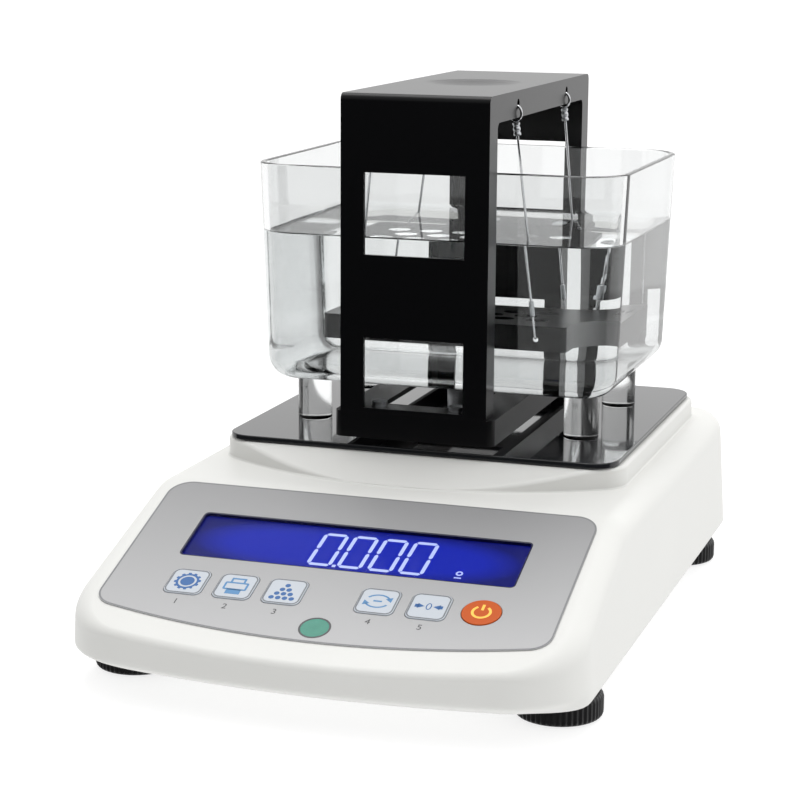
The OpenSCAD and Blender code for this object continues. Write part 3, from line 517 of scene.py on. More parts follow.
# %% Round the edges of a copy
def softened(node, width, name, flat_angle):
    """A welded copy of a working part with rounds of this width on its sharp edges."""
    piece = new_object(name, nodes[node].data.copy())
    piece.data.name = name
    tidy_mesh(piece, outward=False)
    work = bmesh.new()
    work.from_mesh(piece.data)
    bmesh.ops.dissolve_limit(
        work, angle_limit=math.radians(1), verts=work.verts, edges=work.edges
    )
    work.to_mesh(piece.data)
    work.free()
    for key in [k for k in piece.keys() if k.startswith("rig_")]:
        del piece[key]
    bevel = piece.modifiers.new("edge_round", "BEVEL")
    bevel.width = width
    bevel.segments = 3
    bevel.limit_method = "ANGLE"
    bevel.angle_limit = math.radians(flat_angle)
    bevel.harden_normals = True
    bevel.use_clamp_overlap = True
    shade(piece, flat_angle)
    return piece


# %% [markdown]
# ## The housing
# The housing is one moulding. Its top is a flat deck that rolls over into a sloped control
# panel, and its edge falls away in a soft shoulder at the sides and a tighter one at the
# front. Its foot curves under at the sides and slants under at the front. Working inward
# from the outline, each ring is the outline moved in by some distance, with its height
# given by the top surface less the drop of the shoulder's quarter circle.

# %% Sizes of the housing, read from the model where it holds them
shell_low, shell_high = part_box("upper_housing")
half_width = shell_high.x
front_y, rear_y = shell_low.y, shell_high.y
foot_z = shell_low.z
plateau_top = shell_high.z
plateau_rise = 9.3 * mm
deck_z = plateau_top - plateau_rise
slope = math.radians(20)
film_lip = 2.6 * mm
panel_top_y = front_y + 110.3 * mm
roll_radius = 24 * mm
side_lean = 4 * mm
front_bow = 13 * mm
nose_rise, nose_run, nose_round = 5.2 * mm, 12 * mm, 1.2 * mm
nose_from, nose_blend = 0.1, 0.8
side_foot_radius = 3 * mm
spine_inset, wall_crowding = 45 * mm, 1.6
skin, foot_rim = 2.5 * mm, 0.6 * mm
print("housing", round(2 * half_width / mm), "x", round((rear_y - front_y) / mm), "mm")


def top_height(y):
    """Height of deck and slope: flat, then a rolled arc of roll_radius, then the slope."""
    roll_start = panel_top_y + roll_radius * math.tan(slope / 2)
    roll_end = roll_start - roll_radius * math.sin(slope)
    into = np.clip(roll_start - y, 0, roll_radius * math.sin(slope))
    rolled = deck_z - (roll_radius - np.sqrt(roll_radius**2 - into**2))
    return rolled - np.clip(roll_end - y, 0, None) * math.tan(slope)


# %% Build the housing's outer skin from the middle of the deck down to its foot
corner_front, corner_rear = 35 * mm, 22 * mm
outline, away = bowed_outline(
    half_width, rear_y - front_y, front_bow, corner_front, corner_rear, side_steps=90
)
outline = outline + [0, rear_y]
sideness, rearness = away[:, 0] ** 2, np.clip(away[:, 1], 0, 1) ** 2
frontness = np.clip(-away[:, 1], 0, 1) ** 2
side_shoulder, rear_shoulder, front_shoulder = 10 * mm, 8 * mm, 2.4 * mm
shoulder = side_shoulder * sideness + rear_shoulder * rearness + front_shoulder * frontness
edge_height = top_height(outline[:, 1]) - shoulder
wall_lean = side_lean * sideness * (edge_height - foot_z) / (deck_z - foot_z)
edge = outline - away * wall_lean[:, None]
curl = np.clip((-away[:, 1] - nose_from) / nose_blend, 0, 1)
curl = curl * curl * (3 - 2 * curl)
nose_rise = nose_rise * (1 + 0.15 * sideness)


def wall_ring(share):
    """Ring of the wall: share 0 at the shoulder and 1 at the foot. It leans out on its way
    down. At the sides it then curves under like a quarter circle of side_foot_radius. At the
    front it stops nose_rise above the foot, turns with a small round, and slants under."""
    height = edge_height + (foot_z - edge_height) * share
    lean = side_lean * sideness * (height - foot_z) / (deck_z - foot_z)
    below = np.clip(foot_z + side_foot_radius - height, 0, side_foot_radius * 0.9995)
    under = side_foot_radius - np.sqrt(side_foot_radius**2 - below**2)
    short = foot_z + nose_rise - height
    slant = (short + np.sqrt(short**2 + nose_round**2)) / 2 * nose_run / nose_rise
    under = under + (slant - under) * curl
    return level(outline - away * (lean + under)[:, None], height)


shoulder_rings = []
for turn in np.linspace(0, math.pi / 2, 11):
    flat = edge - away * (shoulder * (1 - math.cos(turn)))[:, None]
    drop = shoulder * (1 - math.sin(turn))
    shoulder_rings.append(level(flat, top_height(flat[:, 1]) - drop))
inner_edge = shoulder_rings[-1][:, :2]
spine_y = np.clip(inner_edge[:, 1], front_y + spine_inset, rear_y - spine_inset)
spine = np.column_stack([0 * spine_y, spine_y])
top_rings = []
for share in np.linspace(0, 1, 26)[:-1]:
    flat = spine + (inner_edge - spine) * share
    top_rings.append(level(flat, top_height(flat[:, 1])))
wall_shares = 1 - np.linspace(1, 0, 30)[1:] ** wall_crowding
wall_rings = [wall_ring(share) for share in wall_shares]
foot_edge = wall_rings[-1].copy()
foot_edge[:, :2] -= away * foot_rim
outer = np.array(top_rings + shoulder_rings[::-1] + wall_rings)
print("rings of the outer skin:", len(outer))

# %% [markdown]
# The inner skin is the outer one moved in by the wall's thickness, square to the surface.
# The direction comes from the cross product of the two ways along the grid. A rim joins
# both skins at the foot, so the moulding is one closed solid with a real wall.

# %% Give the moulding its wall
around = np.roll(outer, -1, axis=1) - np.roll(outer, 1, axis=1)
along = np.gradient(outer, axis=0)
square = np.cross(around, along)
length = np.linalg.norm(square, axis=-1, keepdims=True)
too_short = 1e-12
square = np.where(length > too_short, square / np.maximum(length, too_short), [0, 0, 1])
square *= np.sign(square[len(top_rings) // 2, 0, 2])
square[0] = [0, 0, 1]
inner = outer - square * skin
inner[-1, :, 2] = np.maximum(inner[-1, :, 2], foot_z)
shell = loft("housing_shell", np.concatenate([outer, foot_edge[None], inner[::-1]]))

# %% [markdown]
# ### Openings
# Window, keys, bubble level, post and sockets pass through the moulding. Their shapes are
# subtracted as prisms, a little wider than what fills them.


# %% Panel frame and prisms
def on_panel(points):
    """Panel places (across, up the slope, off the surface) as places in the model."""
    across, up, off = np.moveaxis(np.asarray(points, float), -1, 0)
    forward = panel_top_y + up * math.cos(slope) - off * math.sin(slope)
    height = deck_z + up * math.sin(slope) + off * math.cos(slope)
    return np.stack([across, forward, height], axis=-1)


def on_rear(points):
    """Places on the rear wall (across, up, off the wall) as places in the model."""
    across, up, off = np.moveaxis(np.asarray(points, float), -1, 0)
    return np.stack([across, rear_y + off, up], axis=-1)


def disc(radius, steps=48):
    """A circle as an outline with its outward directions."""
    return arc((0, 0), radius, 0, 2 * math.pi, steps)


window_half, window_corner = (half_window, 15.5 * mm), 2 * mm
window_place = (0, -40 * mm)
key_half, key_corner = 8.2 * mm, 3 * mm
key_up = -73.7 * mm
power_place, power_radius = 64.2 * mm, 8 * mm
vial_place, vial_radius = (1.6 * mm, -94.2 * mm), 6.3 * mm
gap, cut_reach = 0.3 * mm, 9 * mm
pan_centre = sum(c.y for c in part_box("tank_platform")) / 2
key_places = [sum(c.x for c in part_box(f"function_key_{i}")) / 2 for i in range(1, 6)]


def prism(line, place, low=-cut_reach, high=cut_reach, frame_of=on_panel):
    """A prism over an outline from one height to another, in the frame of the panel, of the
    rear wall or of the model."""
    moved = line + np.asarray(place)
    rings = np.array([level(moved, low), level(moved, high)])
    return loft("cut", frame_of(rings), flat_angle=30)


cutters = [
    prism(rounded_rectangle(*window_half, window_corner)[0], window_place),
    prism(disc(power_radius + gap)[0], (power_place, key_up)),
    prism(disc(vial_radius + gap / 2)[0], vial_place),
]
for key_x in key_places:
    hole = rounded_rectangle(key_half + gap, key_half + gap, key_corner + gap)[0]
    cutters.append(prism(hole, (key_x, key_up)))
post_radius = 13 * mm
post_cutter = prism(
    disc(post_radius, 64)[0], (0, pan_centre), deck_z - cut_reach, plateau_top + cut_reach,
    np.asarray,
)
cutters.append(post_cutter)
for socket in ("dc_inlet", "serial_port"):
    low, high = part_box(socket)
    middle = ((low.x + high.x) / 2, (low.z + high.z) / 2)
    half = ((high.x - low.x) / 2 + gap / 2, (high.z - low.z) / 2 + gap / 2)
    face = rounded_rectangle(*half, 0.4 * mm, 3)[0]
    cutters.append(prism(face, middle, frame_of=on_rear))


def worked_out(piece):
    """A new mesh of a piece as its modifiers, or its font, leave it."""
    bpy.context.view_layer.update()
    seen = piece.evaluated_get(bpy.context.evaluated_depsgraph_get())
    return bpy.data.meshes.new_from_object(seen)


def carve(piece, tools, operation="DIFFERENCE"):
    """Cuts the tools out of the piece, or keeps what is inside them, as its new mesh."""
    piece.modifiers.clear()
    for tool in tools:
        cut = piece.modifiers.new("cut", "BOOLEAN")
        cut.operation = operation
        cut.solver = "EXACT"
        cut.object = tool
    cut_mesh = worked_out(piece)
    piece.modifiers.clear()
    piece.data = cut_mesh
    cut_mesh.name = piece.name


# %% [markdown]
# ### The plateau
# The raised part under the platform has the same bowed outline. Its front falls away in a
# broad facet, so its wall shrinks to nothing at the apex and leaves a crescent at each
# corner. It is moulded with the housing, and a small hollow round leads into the deck.

# %% Build the plateau
plateau_half, plateau_length, plateau_bow = 93.5 * mm, 200 * mm, 33 * mm
plateau_rear = pan_centre + 89 * mm
facet_run, facet_soft = 23 * mm, 3 * mm
facet_y = plateau_rear - plateau_length + facet_run
spine_front, spine_rear = facet_y + 30 * mm, plateau_rear - 40 * mm
plateau_edge, plateau_hollow, plateau_sunk = 1.6 * mm, 1.2 * mm, 0.5 * mm
least_rise = 0.02 * mm
plateau_corner = 15 * mm
plateau_line, plateau_away = bowed_outline(
    plateau_half, plateau_length, plateau_bow, plateau_corner, plateau_corner, side_steps=50
)
plateau_line = plateau_line + [0, plateau_rear]


def plateau_height(y):
    """Flat top that turns, softly over a few times facet_soft, into the facet's fall."""
    fall = plateau_rise / facet_run
    ahead = facet_y - y
    return plateau_top - fall * (ahead + np.sqrt(ahead**2 + facet_soft**2)) / 2


def plateau_rings(line, out):
    """Rings from a hollow round at the deck, up the wall, over its round edge to the middle."""
    rings = []
    lift = np.clip(plateau_height(line[:, 1]) - deck_z, 0, None)
    edge_round = np.minimum(plateau_edge, 0.6 * lift)
    for turn in np.linspace(0, math.pi / 2, 5)[:-1]:
        flare = plateau_hollow * (1 - math.sin(turn))
        height = deck_z + plateau_hollow * (1 - math.cos(turn))
        rings.append(level(line + out * flare, height - (0 if rings else plateau_sunk)))
    for turn in np.linspace(0, math.pi / 2, 7):
        flat = line - out * (edge_round * (1 - math.cos(turn)))[:, None]
        top = np.maximum(plateau_height(flat[:, 1]), deck_z + least_rise)
        rings.append(level(flat, top - edge_round * (1 - math.sin(turn))))
    rim = rings[-1][:, :2]
    middle_y = np.clip(rim[:, 1], spine_front, spine_rear)
    middle = np.column_stack([0 * middle_y, middle_y])
    for share in np.linspace(0, 1, 20)[1:]:
        flat = rim + (middle - rim) * share
        rings.append(level(flat, np.maximum(plateau_height(flat[:, 1]), deck_z + least_rise)))
    return np.array(rings)


bottom = level(plateau_line, deck_z - 2.4 * mm)
plateau = loft(
    "housing_plateau", np.concatenate([bottom[None], plateau_rings(plateau_line, plateau_away)])
)
carve(plateau, [post_cutter])
carve(shell, cutters)
for tool in cutters:
    bpy.data.objects.remove(tool)
for piece in (shell, plateau):
    shade(piece, 32)
finish(shell, "housing", "housing_shell", housing_abs, "upper_housing")
finish(plateau, "housing", "housing_shell", housing_abs)
print("housing faces:", len(shell.data.polygons), "plateau faces:", len(plateau.data.polygons))

# %% [markdown]
# The bottom cover is a flat plate with posts. Its working outline is a little too wide for
# the foot of this moulding, so a copy keeps only what lies well inside that foot.

# %% Trim the bottom cover to the foot
cover = softened("bottom_cover", 0.3 * mm, "cover_plate", 35)
cover_inset, trim_low, trim_high = 1.0 * mm, foot_z - 5 * mm, foot_z + 60 * mm
foot_line = wall_rings[-1][:, :2] - away * cover_inset
inside = loft("inside", [level(foot_line, height) for height in (trim_low, trim_high)])
carve(cover, [inside], "INTERSECT")
bpy.data.objects.remove(inside)
weigh_normals(cover)
finish(cover, "housing", "cover_plastic", cover_abs, "bottom_cover")

# %% [markdown]
# ## Print on the panel
# The film has a dark hairline round its edge. Each key carries a plain sign in blue inside
# a grey frame, with a small number under it. All print is a layer a few hundredths of a
# millimetre thick, made of bands between two outlines and of flat discs and bars.

# %% Thin printed layers
film_top = 0.5 * mm
ink_thick = 0.05 * mm


def band(line, away, start, end):
    """The two edges of a band along an outline, start and end millimetres outside it."""
    return line + away * start * mm, line + away * end * mm


def printed(name, shape, base, place=(0, 0), thick=ink_thick):
    """A layer on the panel. One outline is filled, and a pair of outlines gives the band
    between them."""
    lines = shape if isinstance(shape, tuple) else (shape,)
    rings = [level(lines[0] + np.asarray(place), height) for height in (base, base + thick)]
    for line in lines[1:]:
        rings += [level(line + np.asarray(place), height) for height in (base + thick, base)]
    return loft(name, on_panel(np.array(rings)), closed=len(lines) == 2, flat_angle=20)


def merged(name, pieces):
    """Several pieces as one object."""
    with bpy.context.temp_override(
        active_object=pieces[0], selected_editable_objects=pieces, object=pieces[0]
    ):
        bpy.ops.object.join()
    pieces[0].name = name
    pieces[0].data.name = name
    return pieces[0]


film_half, film_length, film_bow = 96 * mm, 100.7 * mm, 12 * mm
film_corner = 10 * mm
film_line, film_away = bowed_outline(
    film_half, film_length, film_bow, film_corner, film_corner
)
film_line = film_line + [0, -film_lip]
border = printed("film_border", band(film_line, film_away, -0.1, -0.8), film_top)
finish(border, "housing", "overlay_film", ink_edge)

# %% [markdown]
# The display's glass is bonded close behind a thin clear window, and a dark line is printed
# round it. The sides of the recess are dark too, so the blue field seems to float in it.

# %% Window, recess and glass of the display
well_floor, well_deep, glass_top = -3.1 * mm, 3.4 * mm, -1.3 * mm
frame_line, frame_away = rounded_rectangle(*window_half, window_corner)
window_frame = printed(
    "window_frame", band(frame_line, frame_away, 0.35, 0), film_top, window_place
)
finish(window_frame, "housing", "overlay_film", ink_navy)
well = printed(
    "window_well", band(frame_line, frame_away, -0.05, -0.35), well_floor, window_place,
    well_deep,
)
finish(well, "housing", "window_lens", ink_navy)
glass_line = frame_line - frame_away * 0.4 * mm
glass = printed(
    "display_glass", glass_line, well_floor, window_place, glass_top - well_floor
)
finish(glass, "housing", "display", display_glow)
lens_base = glass_top + 0.15 * mm
lens_top = film_top - 0.05 * mm
lens = printed("clear_window", glass_line, lens_base, window_place, lens_top - lens_base)
finish(lens, "housing", "window_lens", lens_acrylic, "display_window")

# %% [markdown]
# ### Signs on the keys
# The signs are plain ones for what each key does: a gear for set-up, a sheet for print, a
# heap of dots for enter, two chasing arrows for mode and arrows that meet at a ring for
# zero. Each is a few bands, discs and bars.


# %% Shapes of the signs
def bar(width, height, place=(0, 0)):
    """The four corners of a bar about a place."""
    corners = np.array([[-1, -1], [1, -1], [1, 1], [-1, 1]]) * [width / 2, height / 2]
    return corners + np.asarray(place)


def pointer(size, place, angle):
    """A triangle about a place, turned by the angle from pointing along +x."""
    c, s = math.cos(angle), math.sin(angle)
    corners = np.array([[-0.5, -0.6], [0.6, 0.0], [-0.5, 0.6]]) * size
    return corners @ np.array([[c, s], [-s, c]]) + np.asarray(place)


def bow_band(radius, width, start, end, steps=24):
    """A curved bar: out along the outer arc and back along the inner one."""
    angle = np.linspace(math.radians(start), math.radians(end), steps)
    way = np.stack([np.cos(angle), np.sin(angle)], axis=-1)
    return np.concatenate([way * (radius + width / 2), way[::-1] * (radius - width / 2)])


gear_angle = np.linspace(0, 2 * math.pi, 120, endpoint=False)
gear_way = np.stack([np.cos(gear_angle), np.sin(gear_angle)], axis=-1)
gear_rim = gear_way * np.where(np.sin(12 * gear_angle) > 0, 5.7 * mm, 4.9 * mm)[:, None]
gear_sign = [(gear_rim, gear_way * 3.9 * mm), disc(3.0 * mm)[0]]

sheet_sign = [
    band(*rounded_rectangle(5.2 * mm, 2.6 * mm, 0.8 * mm, 4), 0, -0.9),
    bar(6.4 * mm, 0.9 * mm, (0, 4.9 * mm)),
    bar(0.9 * mm, 2.2 * mm, (-2.8 * mm, 3.6 * mm)),
    bar(0.9 * mm, 2.2 * mm, (2.8 * mm, 3.6 * mm)),
    bar(6.4 * mm, 3.4 * mm, (0, -3.6 * mm)),
]

heap_sign = [
    disc(1.15 * mm, 20)[0] + [(step - row / 2) * 2.9 * mm, (1.4 - row) * 2.8 * mm]
    for row in range(4)
    for step in range(row + 1)
]

chase_sign = [
    bow_band(5.0 * mm, 0.9 * mm, 25, 150) * [1, 0.8],
    bow_band(5.0 * mm, 0.9 * mm, 205, 330) * [1, 0.8],
    pointer(2.6 * mm, (4.9 * mm, 1.2 * mm), math.radians(-65)),
    pointer(2.6 * mm, (-4.9 * mm, -1.2 * mm), math.radians(115)),
    bar(3.6 * mm, 0.9 * mm),
]

ring_line, ring_away = disc(1.7 * mm, 32)
zero_sign = [band(ring_line * [0.7, 1.25], ring_away, 0, -0.45)]
for side, angle in ((-1, 0.0), (1, math.pi)):
    zero_sign.append(pointer(2.6 * mm, (side * 3.4 * mm, 0), angle))
    zero_sign.append(bar(1.6 * mm, 1.9 * mm, (side * 5.0 * mm, 0)))

power_sign = [
    bow_band(3.6 * mm, 1.1 * mm, 125, 415, 40),
    bar(1.1 * mm, 3.6 * mm, (0, 3.0 * mm)),
]


def print_sign(name, shapes, place, base, thick=ink_thick):
    """All shapes of one sign, printed at one height and joined."""
    return merged(name, [printed(name, shape, base, place, thick) for shape in shapes])


# %% Keys with their frames, signs and numbers
key_top, key_rim = 0.9 * mm, 0.3 * mm
number_tall, number_up = 4.6 * mm, key_up - 14.6 * mm
signs = [
    (gear_sign, ink_blue),
    (sheet_sign, ink_sky),
    (heap_sign, ink_blue),
    (chase_sign, ink_sky),
    (zero_sign, ink_blue),
]
for number, (key_x, (sign, sign_ink)) in enumerate(zip(key_places, signs), start=1):
    body = f"function_key_{number}_body"
    key = softened(f"function_key_{number}", key_rim, f"key_cap_{number}", 30)
    finish(key, body, "key_plastic", key_abs, f"function_key_{number}")
    edges = band(
        *rounded_rectangle(key_half - key_rim, key_half - key_rim, key_corner), 0, -0.6
    )
    ring = printed(f"key_frame_{number}", edges, key_top, (key_x, key_up))
    finish(ring, body, "key_plastic", ink_grey)
    drawn = print_sign(f"key_sign_{number}", sign, (key_x, key_up), key_top)
    finish(drawn, body, "key_plastic", sign_ink)

power = softened("power_key", key_rim, "power_cap", 30)
finish(power, "power_key_body", "power_key_plastic", power_abs, "power_key")
drawn = print_sign("power_sign", power_sign, (power_place, key_up), key_top)
finish(drawn, "power_key_body", "power_key_plastic", ink_yellow)

for number, key_x in enumerate(key_places, start=1):
    text = bpy.data.curves.new(f"key_number_{number}", "FONT")
    text.body = str(number)
    text.size = number_tall
    text.align_x = "CENTER"
    flat = new_object("flat", text)
    mesh = worked_out(flat)
    bpy.data.objects.remove(flat)
    places = np.empty(len(mesh.vertices) * 3)
    mesh.vertices.foreach_get("co", places)
    places = places.reshape(-1, 3) + [key_x, number_up, film_top + ink_thick]
    mesh.vertices.foreach_set("co", on_panel(places).ravel())
    piece = new_object(f"key_number_{number}", mesh)
    thick = piece.modifiers.new("thickness", "SOLIDIFY")
    thick.thickness = ink_thick
    thick.offset = -1
    finish(piece, "housing", "overlay_film", ink_dark)

# %% [markdown]
# ### Digits of the display
# Seven bars with pointed ends make each digit, leaning a little, as on any such display.
# It shows zero with three decimals.

# %% Seven-bar digits
digit_tall, digit_wide, digit_pitch = 22.8 * mm, 10.9 * mm, 13.2 * mm
bar_wide, bar_gap, digit_lean = 1.6 * mm, 0.5 * mm, math.radians(3)
digits_left, digits_middle = -17.1 * mm, -40.4 * mm
lit_thick = 0.06 * mm


def segment(long_side, place, upright):
    """A bar with pointed ends, lying or upright."""
    reach, half = long_side / 2, bar_wide / 2
    line = np.array(
        [[-reach, 0], [half - reach, half], [reach - half, half], [reach, 0],
         [reach - half, -half], [half - reach, -half]]
    )
    line = line[:, ::-1] * [1, -1] if upright else line
    return line + np.asarray(place)


def zero_digit():
    """The six lit bars of a zero: top, bottom, and the four uprights."""
    x, y = digit_wide / 2 - bar_wide / 2, digit_tall / 2 - bar_wide / 2
    wide, tall = 2 * x - bar_gap, y - bar_gap
    bars = [segment(wide, (0, y), False), segment(wide, (0, -y), False)]
    for up in (y / 2, -y / 2):
        bars += [segment(tall, (-x, up), True), segment(tall, (x, up), True)]
    return bars


digit_shear = np.array([[1, 0], [math.tan(digit_lean), 1]])
shapes = []
for step in range(4):
    centre = (digits_left + digit_wide / 2 + step * digit_pitch, digits_middle)
    shapes += [line @ digit_shear + centre for line in zero_digit()]
dot = (digits_left + digit_wide + 0.7 * mm, digits_middle - digit_tall / 2 + 0.7 * mm)
shapes.append(bar(1.5 * mm, 1.5 * mm, dot))
mark_x, mark_up = digits_left + 64.6 * mm, digits_middle - 7.4 * mm
mark_line, mark_away = disc(1.5 * mm, 28)
shapes.append(band(mark_line + [mark_x, mark_up], mark_away, 0, -0.7))
shapes.append(bar(3 * mm, 0.7 * mm, (mark_x, mark_up - 3 * mm)))
digits = print_sign("display_digits", shapes, (0, 0), glass_top, lit_thick)
finish(digits, "housing", "display", digit_light)

ring = printed("vial_ring", band(*disc(vial_radius, 56), 0.3, -0.5), film_top, vial_place)
finish(ring, "housing", "vial_lens", ink_dark)

# %% [markdown]
# ## Platform
# The platform is a polished sheet of black acrylic with a fine round along its edge. It
# mirrors the tank's legs and the bright room.

# %% Soften the platform
platform = softened("tank_platform", 0.5 * mm, "platform", 40)
finish(platform, "housing", "black_acrylic", acrylic_black, "tank_platform")

# %% [markdown]
# ## Tank and water
# The tank is a leaning box with round corners. Going up, its corner radius grows with the
# wall. Rings run over the floor, round its edge, up the wall, over a rounded rim and back
# down inside, so the wall has its true thickness and light bends twice in it.

# %% Rings of a leaning box
tank_low, tank_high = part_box("water_tank")
tank_half = ((tank_high.x - tank_low.x) / 2, (tank_high.y - tank_low.y) / 2)
tank_tall = tank_high.z - tank_low.z
tank_lean = 3.8 * mm / tank_tall
rim_corner, floor_round, tank_wall = 20 * mm, 10 * mm, 3 * mm


def tank_ring(height, inward):
    """Outline of the tank at a height above its floor, moved inward square to the wall."""
    back = tank_lean * (tank_tall - height) + inward
    half_x, half_y = tank_half
    line = rounded_rectangle(half_x - back, half_y - back, rim_corner - back, 16)[0]
    return level(line + [0, pan_centre], tank_low.z + height)


def shrunk(ring, share):
    """A level ring of the tank, shrunk towards the tank's axis."""
    return level((ring[:, :2] - [0, pan_centre]) * share + [0, pan_centre], ring[:, 2])


def floor_rings(base, inward, radius):
    """Rings from the middle of a floor out to the top of the round at its edge."""
    first = tank_ring(base, inward + radius)
    rings = [shrunk(first, share) for share in (0.02, 0.5)]
    for turn in np.linspace(0, math.pi / 2, 9):
        height = base + radius * (1 - math.cos(turn))
        rings.append(tank_ring(height, inward + radius * (1 - math.sin(turn))))
    return rings


rim_round = tank_wall / 2
rim_rings = []
for turn in np.linspace(0, math.pi, 11):
    height = tank_tall - rim_round * 0.5 * (1 - math.sin(turn))
    rim_rings.append(tank_ring(height, rim_round * (1 - math.cos(turn))))
tank_rings = floor_rings(0, 0, floor_round) + rim_rings
tank_rings += floor_rings(tank_wall, tank_wall, floor_round - tank_wall)[::-1]
tank = loft("tank_shell", tank_rings, flat_angle=60)
finish(tank, "tank", "clear_acrylic", acrylic_clear, "water_tank")

# %% [markdown]
# The water stands about two thirds up the wall and climbs it in a small meniscus.

# %% Fill the tank
water_level, water_climb, climb_reach = 68.2 * mm, 1.1 * mm, 1.3 * mm
reach = 0.12 * mm
inner_line = tank_wall - reach
water_rings = floor_rings(tank_wall - reach, inner_line, floor_round - tank_wall)
for off in np.array([0, 0.5, 1.1, 1.9, 3.0, 5.0, 9.0]) * mm:
    rise = water_climb * math.exp(-off / climb_reach)
    water_rings.append(tank_ring(water_level + rise, inner_line + off))
water_rings.append(shrunk(water_rings[-1], 0.02))
water = loft("water_fill", water_rings, flat_angle=60)
finish(water, "tank", "clear_acrylic", water_clear)

# %% [markdown]
# Four turned acrylic legs are cemented under the floor. They reach a hair into it, as the
# cement joins them, so no film of air shows as a mirror. Turning leaves them a little hazy.

# %% Turn the legs
legs_low, legs_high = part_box("tank_legs")
leg_cement = 0.1 * mm
leg_radius = 8 * mm
leg_x, leg_y = legs_high.x - leg_radius, legs_high.y - pan_centre - leg_radius
leg_tall = legs_high.z - legs_low.z + leg_cement
# Share of the radius, share of the height.
leg_profile = [(0.02, 0), (0.97, 0), (1, 0.02), (1, 0.5), (1, 1.0), (0.02, 1.0)]
circle = disc(leg_radius, 48)[0]
legs = []
for side in (-1, 1):
    for end in (-1, 1):
        middle = [side * leg_x, pan_centre + end * leg_y]
        rings = [level(circle * r + middle, legs_low.z + leg_tall * t) for r, t in leg_profile]
        legs.append(loft("leg", rings, flat_angle=50))
legs = merged("acrylic_legs", legs)
finish(legs, "tank", "clear_acrylic", acrylic_rod, "tank_legs")

# %% [markdown]
# ## Arch, base and tray
# These are folded sheet, so their working shapes are right as they are. The copies get the
# small rounds that folding and coating leave.

# %% Soften the sheet metal
sheet_parts = [
    ("weighing_arch", "arch_sheet", 0.8 * mm, "housing"),
    ("arch_base", "base_sheet", 0.8 * mm, "housing"),
    ("hanging_tray", "tray_sheet", 0.35 * mm, "tray"),
]
for node, name, width, body in sheet_parts:
    piece = softened(node, width, name, 30)
    finish(piece, body, "black_paint", powder_coat, node)

# %% [markdown]
# ## Hangers
# Each hanger is a stainless wire: a loop through the arch's lip, a crimped ferrule, a long
# straight run that leans outward, and a hook through the tray's skirt. A wire is a circle
# carried along a path, and corners of the path are rounded by a short curve.


# %% Tubes along a path
def rounded_path(corners, radius):
    """Straight runs whose corners are replaced by parabolas that start radius before them."""
    points = [corners[0]]
    for before, here, after in zip(corners, corners[1:], corners[2:]):
        into = here + (before - here) / np.linalg.norm(before - here) * radius
        out = here + (after - here) / np.linalg.norm(after - here) * radius
        t = np.linspace(0, 1, 8)[:, None]
        points.extend((1 - t) ** 2 * into + 2 * t * (1 - t) * here + t**2 * out)
    points.append(corners[-1])
    return np.array(points)


def tube(path, radius, side, sides=12, closed=False, flat_angle=60):
    """Circles across a path as one skin. Their first direction is square to path and side."""
    if closed:
        ahead = np.roll(path, -1, axis=0) - np.roll(path, 1, axis=0)
    else:
        ahead = np.gradient(path, axis=0)
    ahead /= np.linalg.norm(ahead, axis=1, keepdims=True)
    first = np.cross(ahead, side)
    first /= np.linalg.norm(first, axis=1, keepdims=True)
    second = np.cross(ahead, first)
    angle = np.linspace(0, 2 * math.pi, sides, endpoint=False)[None, :, None]
    circle = np.cos(angle) * first[:, None] + np.sin(angle) * second[:, None]
    radius = np.broadcast_to(radius, len(path))[:, None, None]
    return loft("tube", path[:, None] + radius * circle, closed, flat_angle)


# %% Sizes of one hanger, as it stands on the right at the rear
wire_radius = 0.6 * mm
lip_x, hole_y = 32.8 * mm, 43.4 * mm
ring_top, ring_half, ring_drop = 229.98 * mm, 2.5 * mm, 6.7 * mm
angle = np.linspace(0, 2 * math.pi, 40, endpoint=False)
ring_z = ring_top - ring_drop / 2 + ring_drop / 2 * np.sin(angle)
loop = np.column_stack([lip_x + ring_half * np.cos(angle), 0 * angle + hole_y, ring_z])
start = np.array([lip_x, hole_y, ring_top - ring_drop])
hook = np.array([44, 37.9, 126.5]) * mm
tip = hook - [0, 4 * mm, 0]
wire_path = rounded_path([start, hook, tip, tip + [0, 0, 2 * mm]], 1.0 * mm)
run = np.linalg.norm(hook - start)
down = (hook - start) / run
share = np.linspace(0, 1, 25)
crimp_path = start + down * (0.6 * mm + 6 * mm * share)[:, None]
crimp_radius, crimp_end, crimp_dent, dent_width = 1.7 * mm, 1.25 * mm, 0.35 * mm, 0.09
crimp = crimp_radius - sum(
    crimp_dent * np.exp(-(((share - middle) / dent_width) ** 2)) for middle in (0.3, 0.7)
)
crimp[[0, -1]] = crimp_end
sleeve_path = start + down * (run - 17 * mm + 7 * mm * share)[:, None]
sleeve = np.full(len(share), 1.2 * mm)
sleeve[[0, -1]] = 0.9 * mm

# %% Bend the four hangers and press their ferrules
along_y, along_x = (0, 1, 0), (1, 0.001, 0)
for side_name, side in (("left", -1), ("right", 1)):
    wires, ferrules = [], []
    for end in (-1, 1):
        mirror, middle = [side, end, 1], [0, pan_centre, 0]
        wires.append(tube(loop * mirror + middle, wire_radius, along_y, closed=True))
        wires.append(tube(wire_path * mirror + middle, wire_radius, along_x))
        ferrules.append(tube(crimp_path * mirror + middle, crimp, along_x, 20, flat_angle=50))
        ferrules.append(tube(sleeve_path * mirror + middle, sleeve, along_x, 16, flat_angle=50))
    wires = merged(f"hanger_wires_{side_name}", wires)
    ferrules = merged(f"crimped_ferrules_{side_name}", ferrules)
    body = f"{side_name}_hangers"
    finish(wires, body, "wire_steel", stainless_wire, f"hangers_{side_name}")
    finish(ferrules, body, "wire_steel", zinc_steel, f"ferrules_{side_name}")

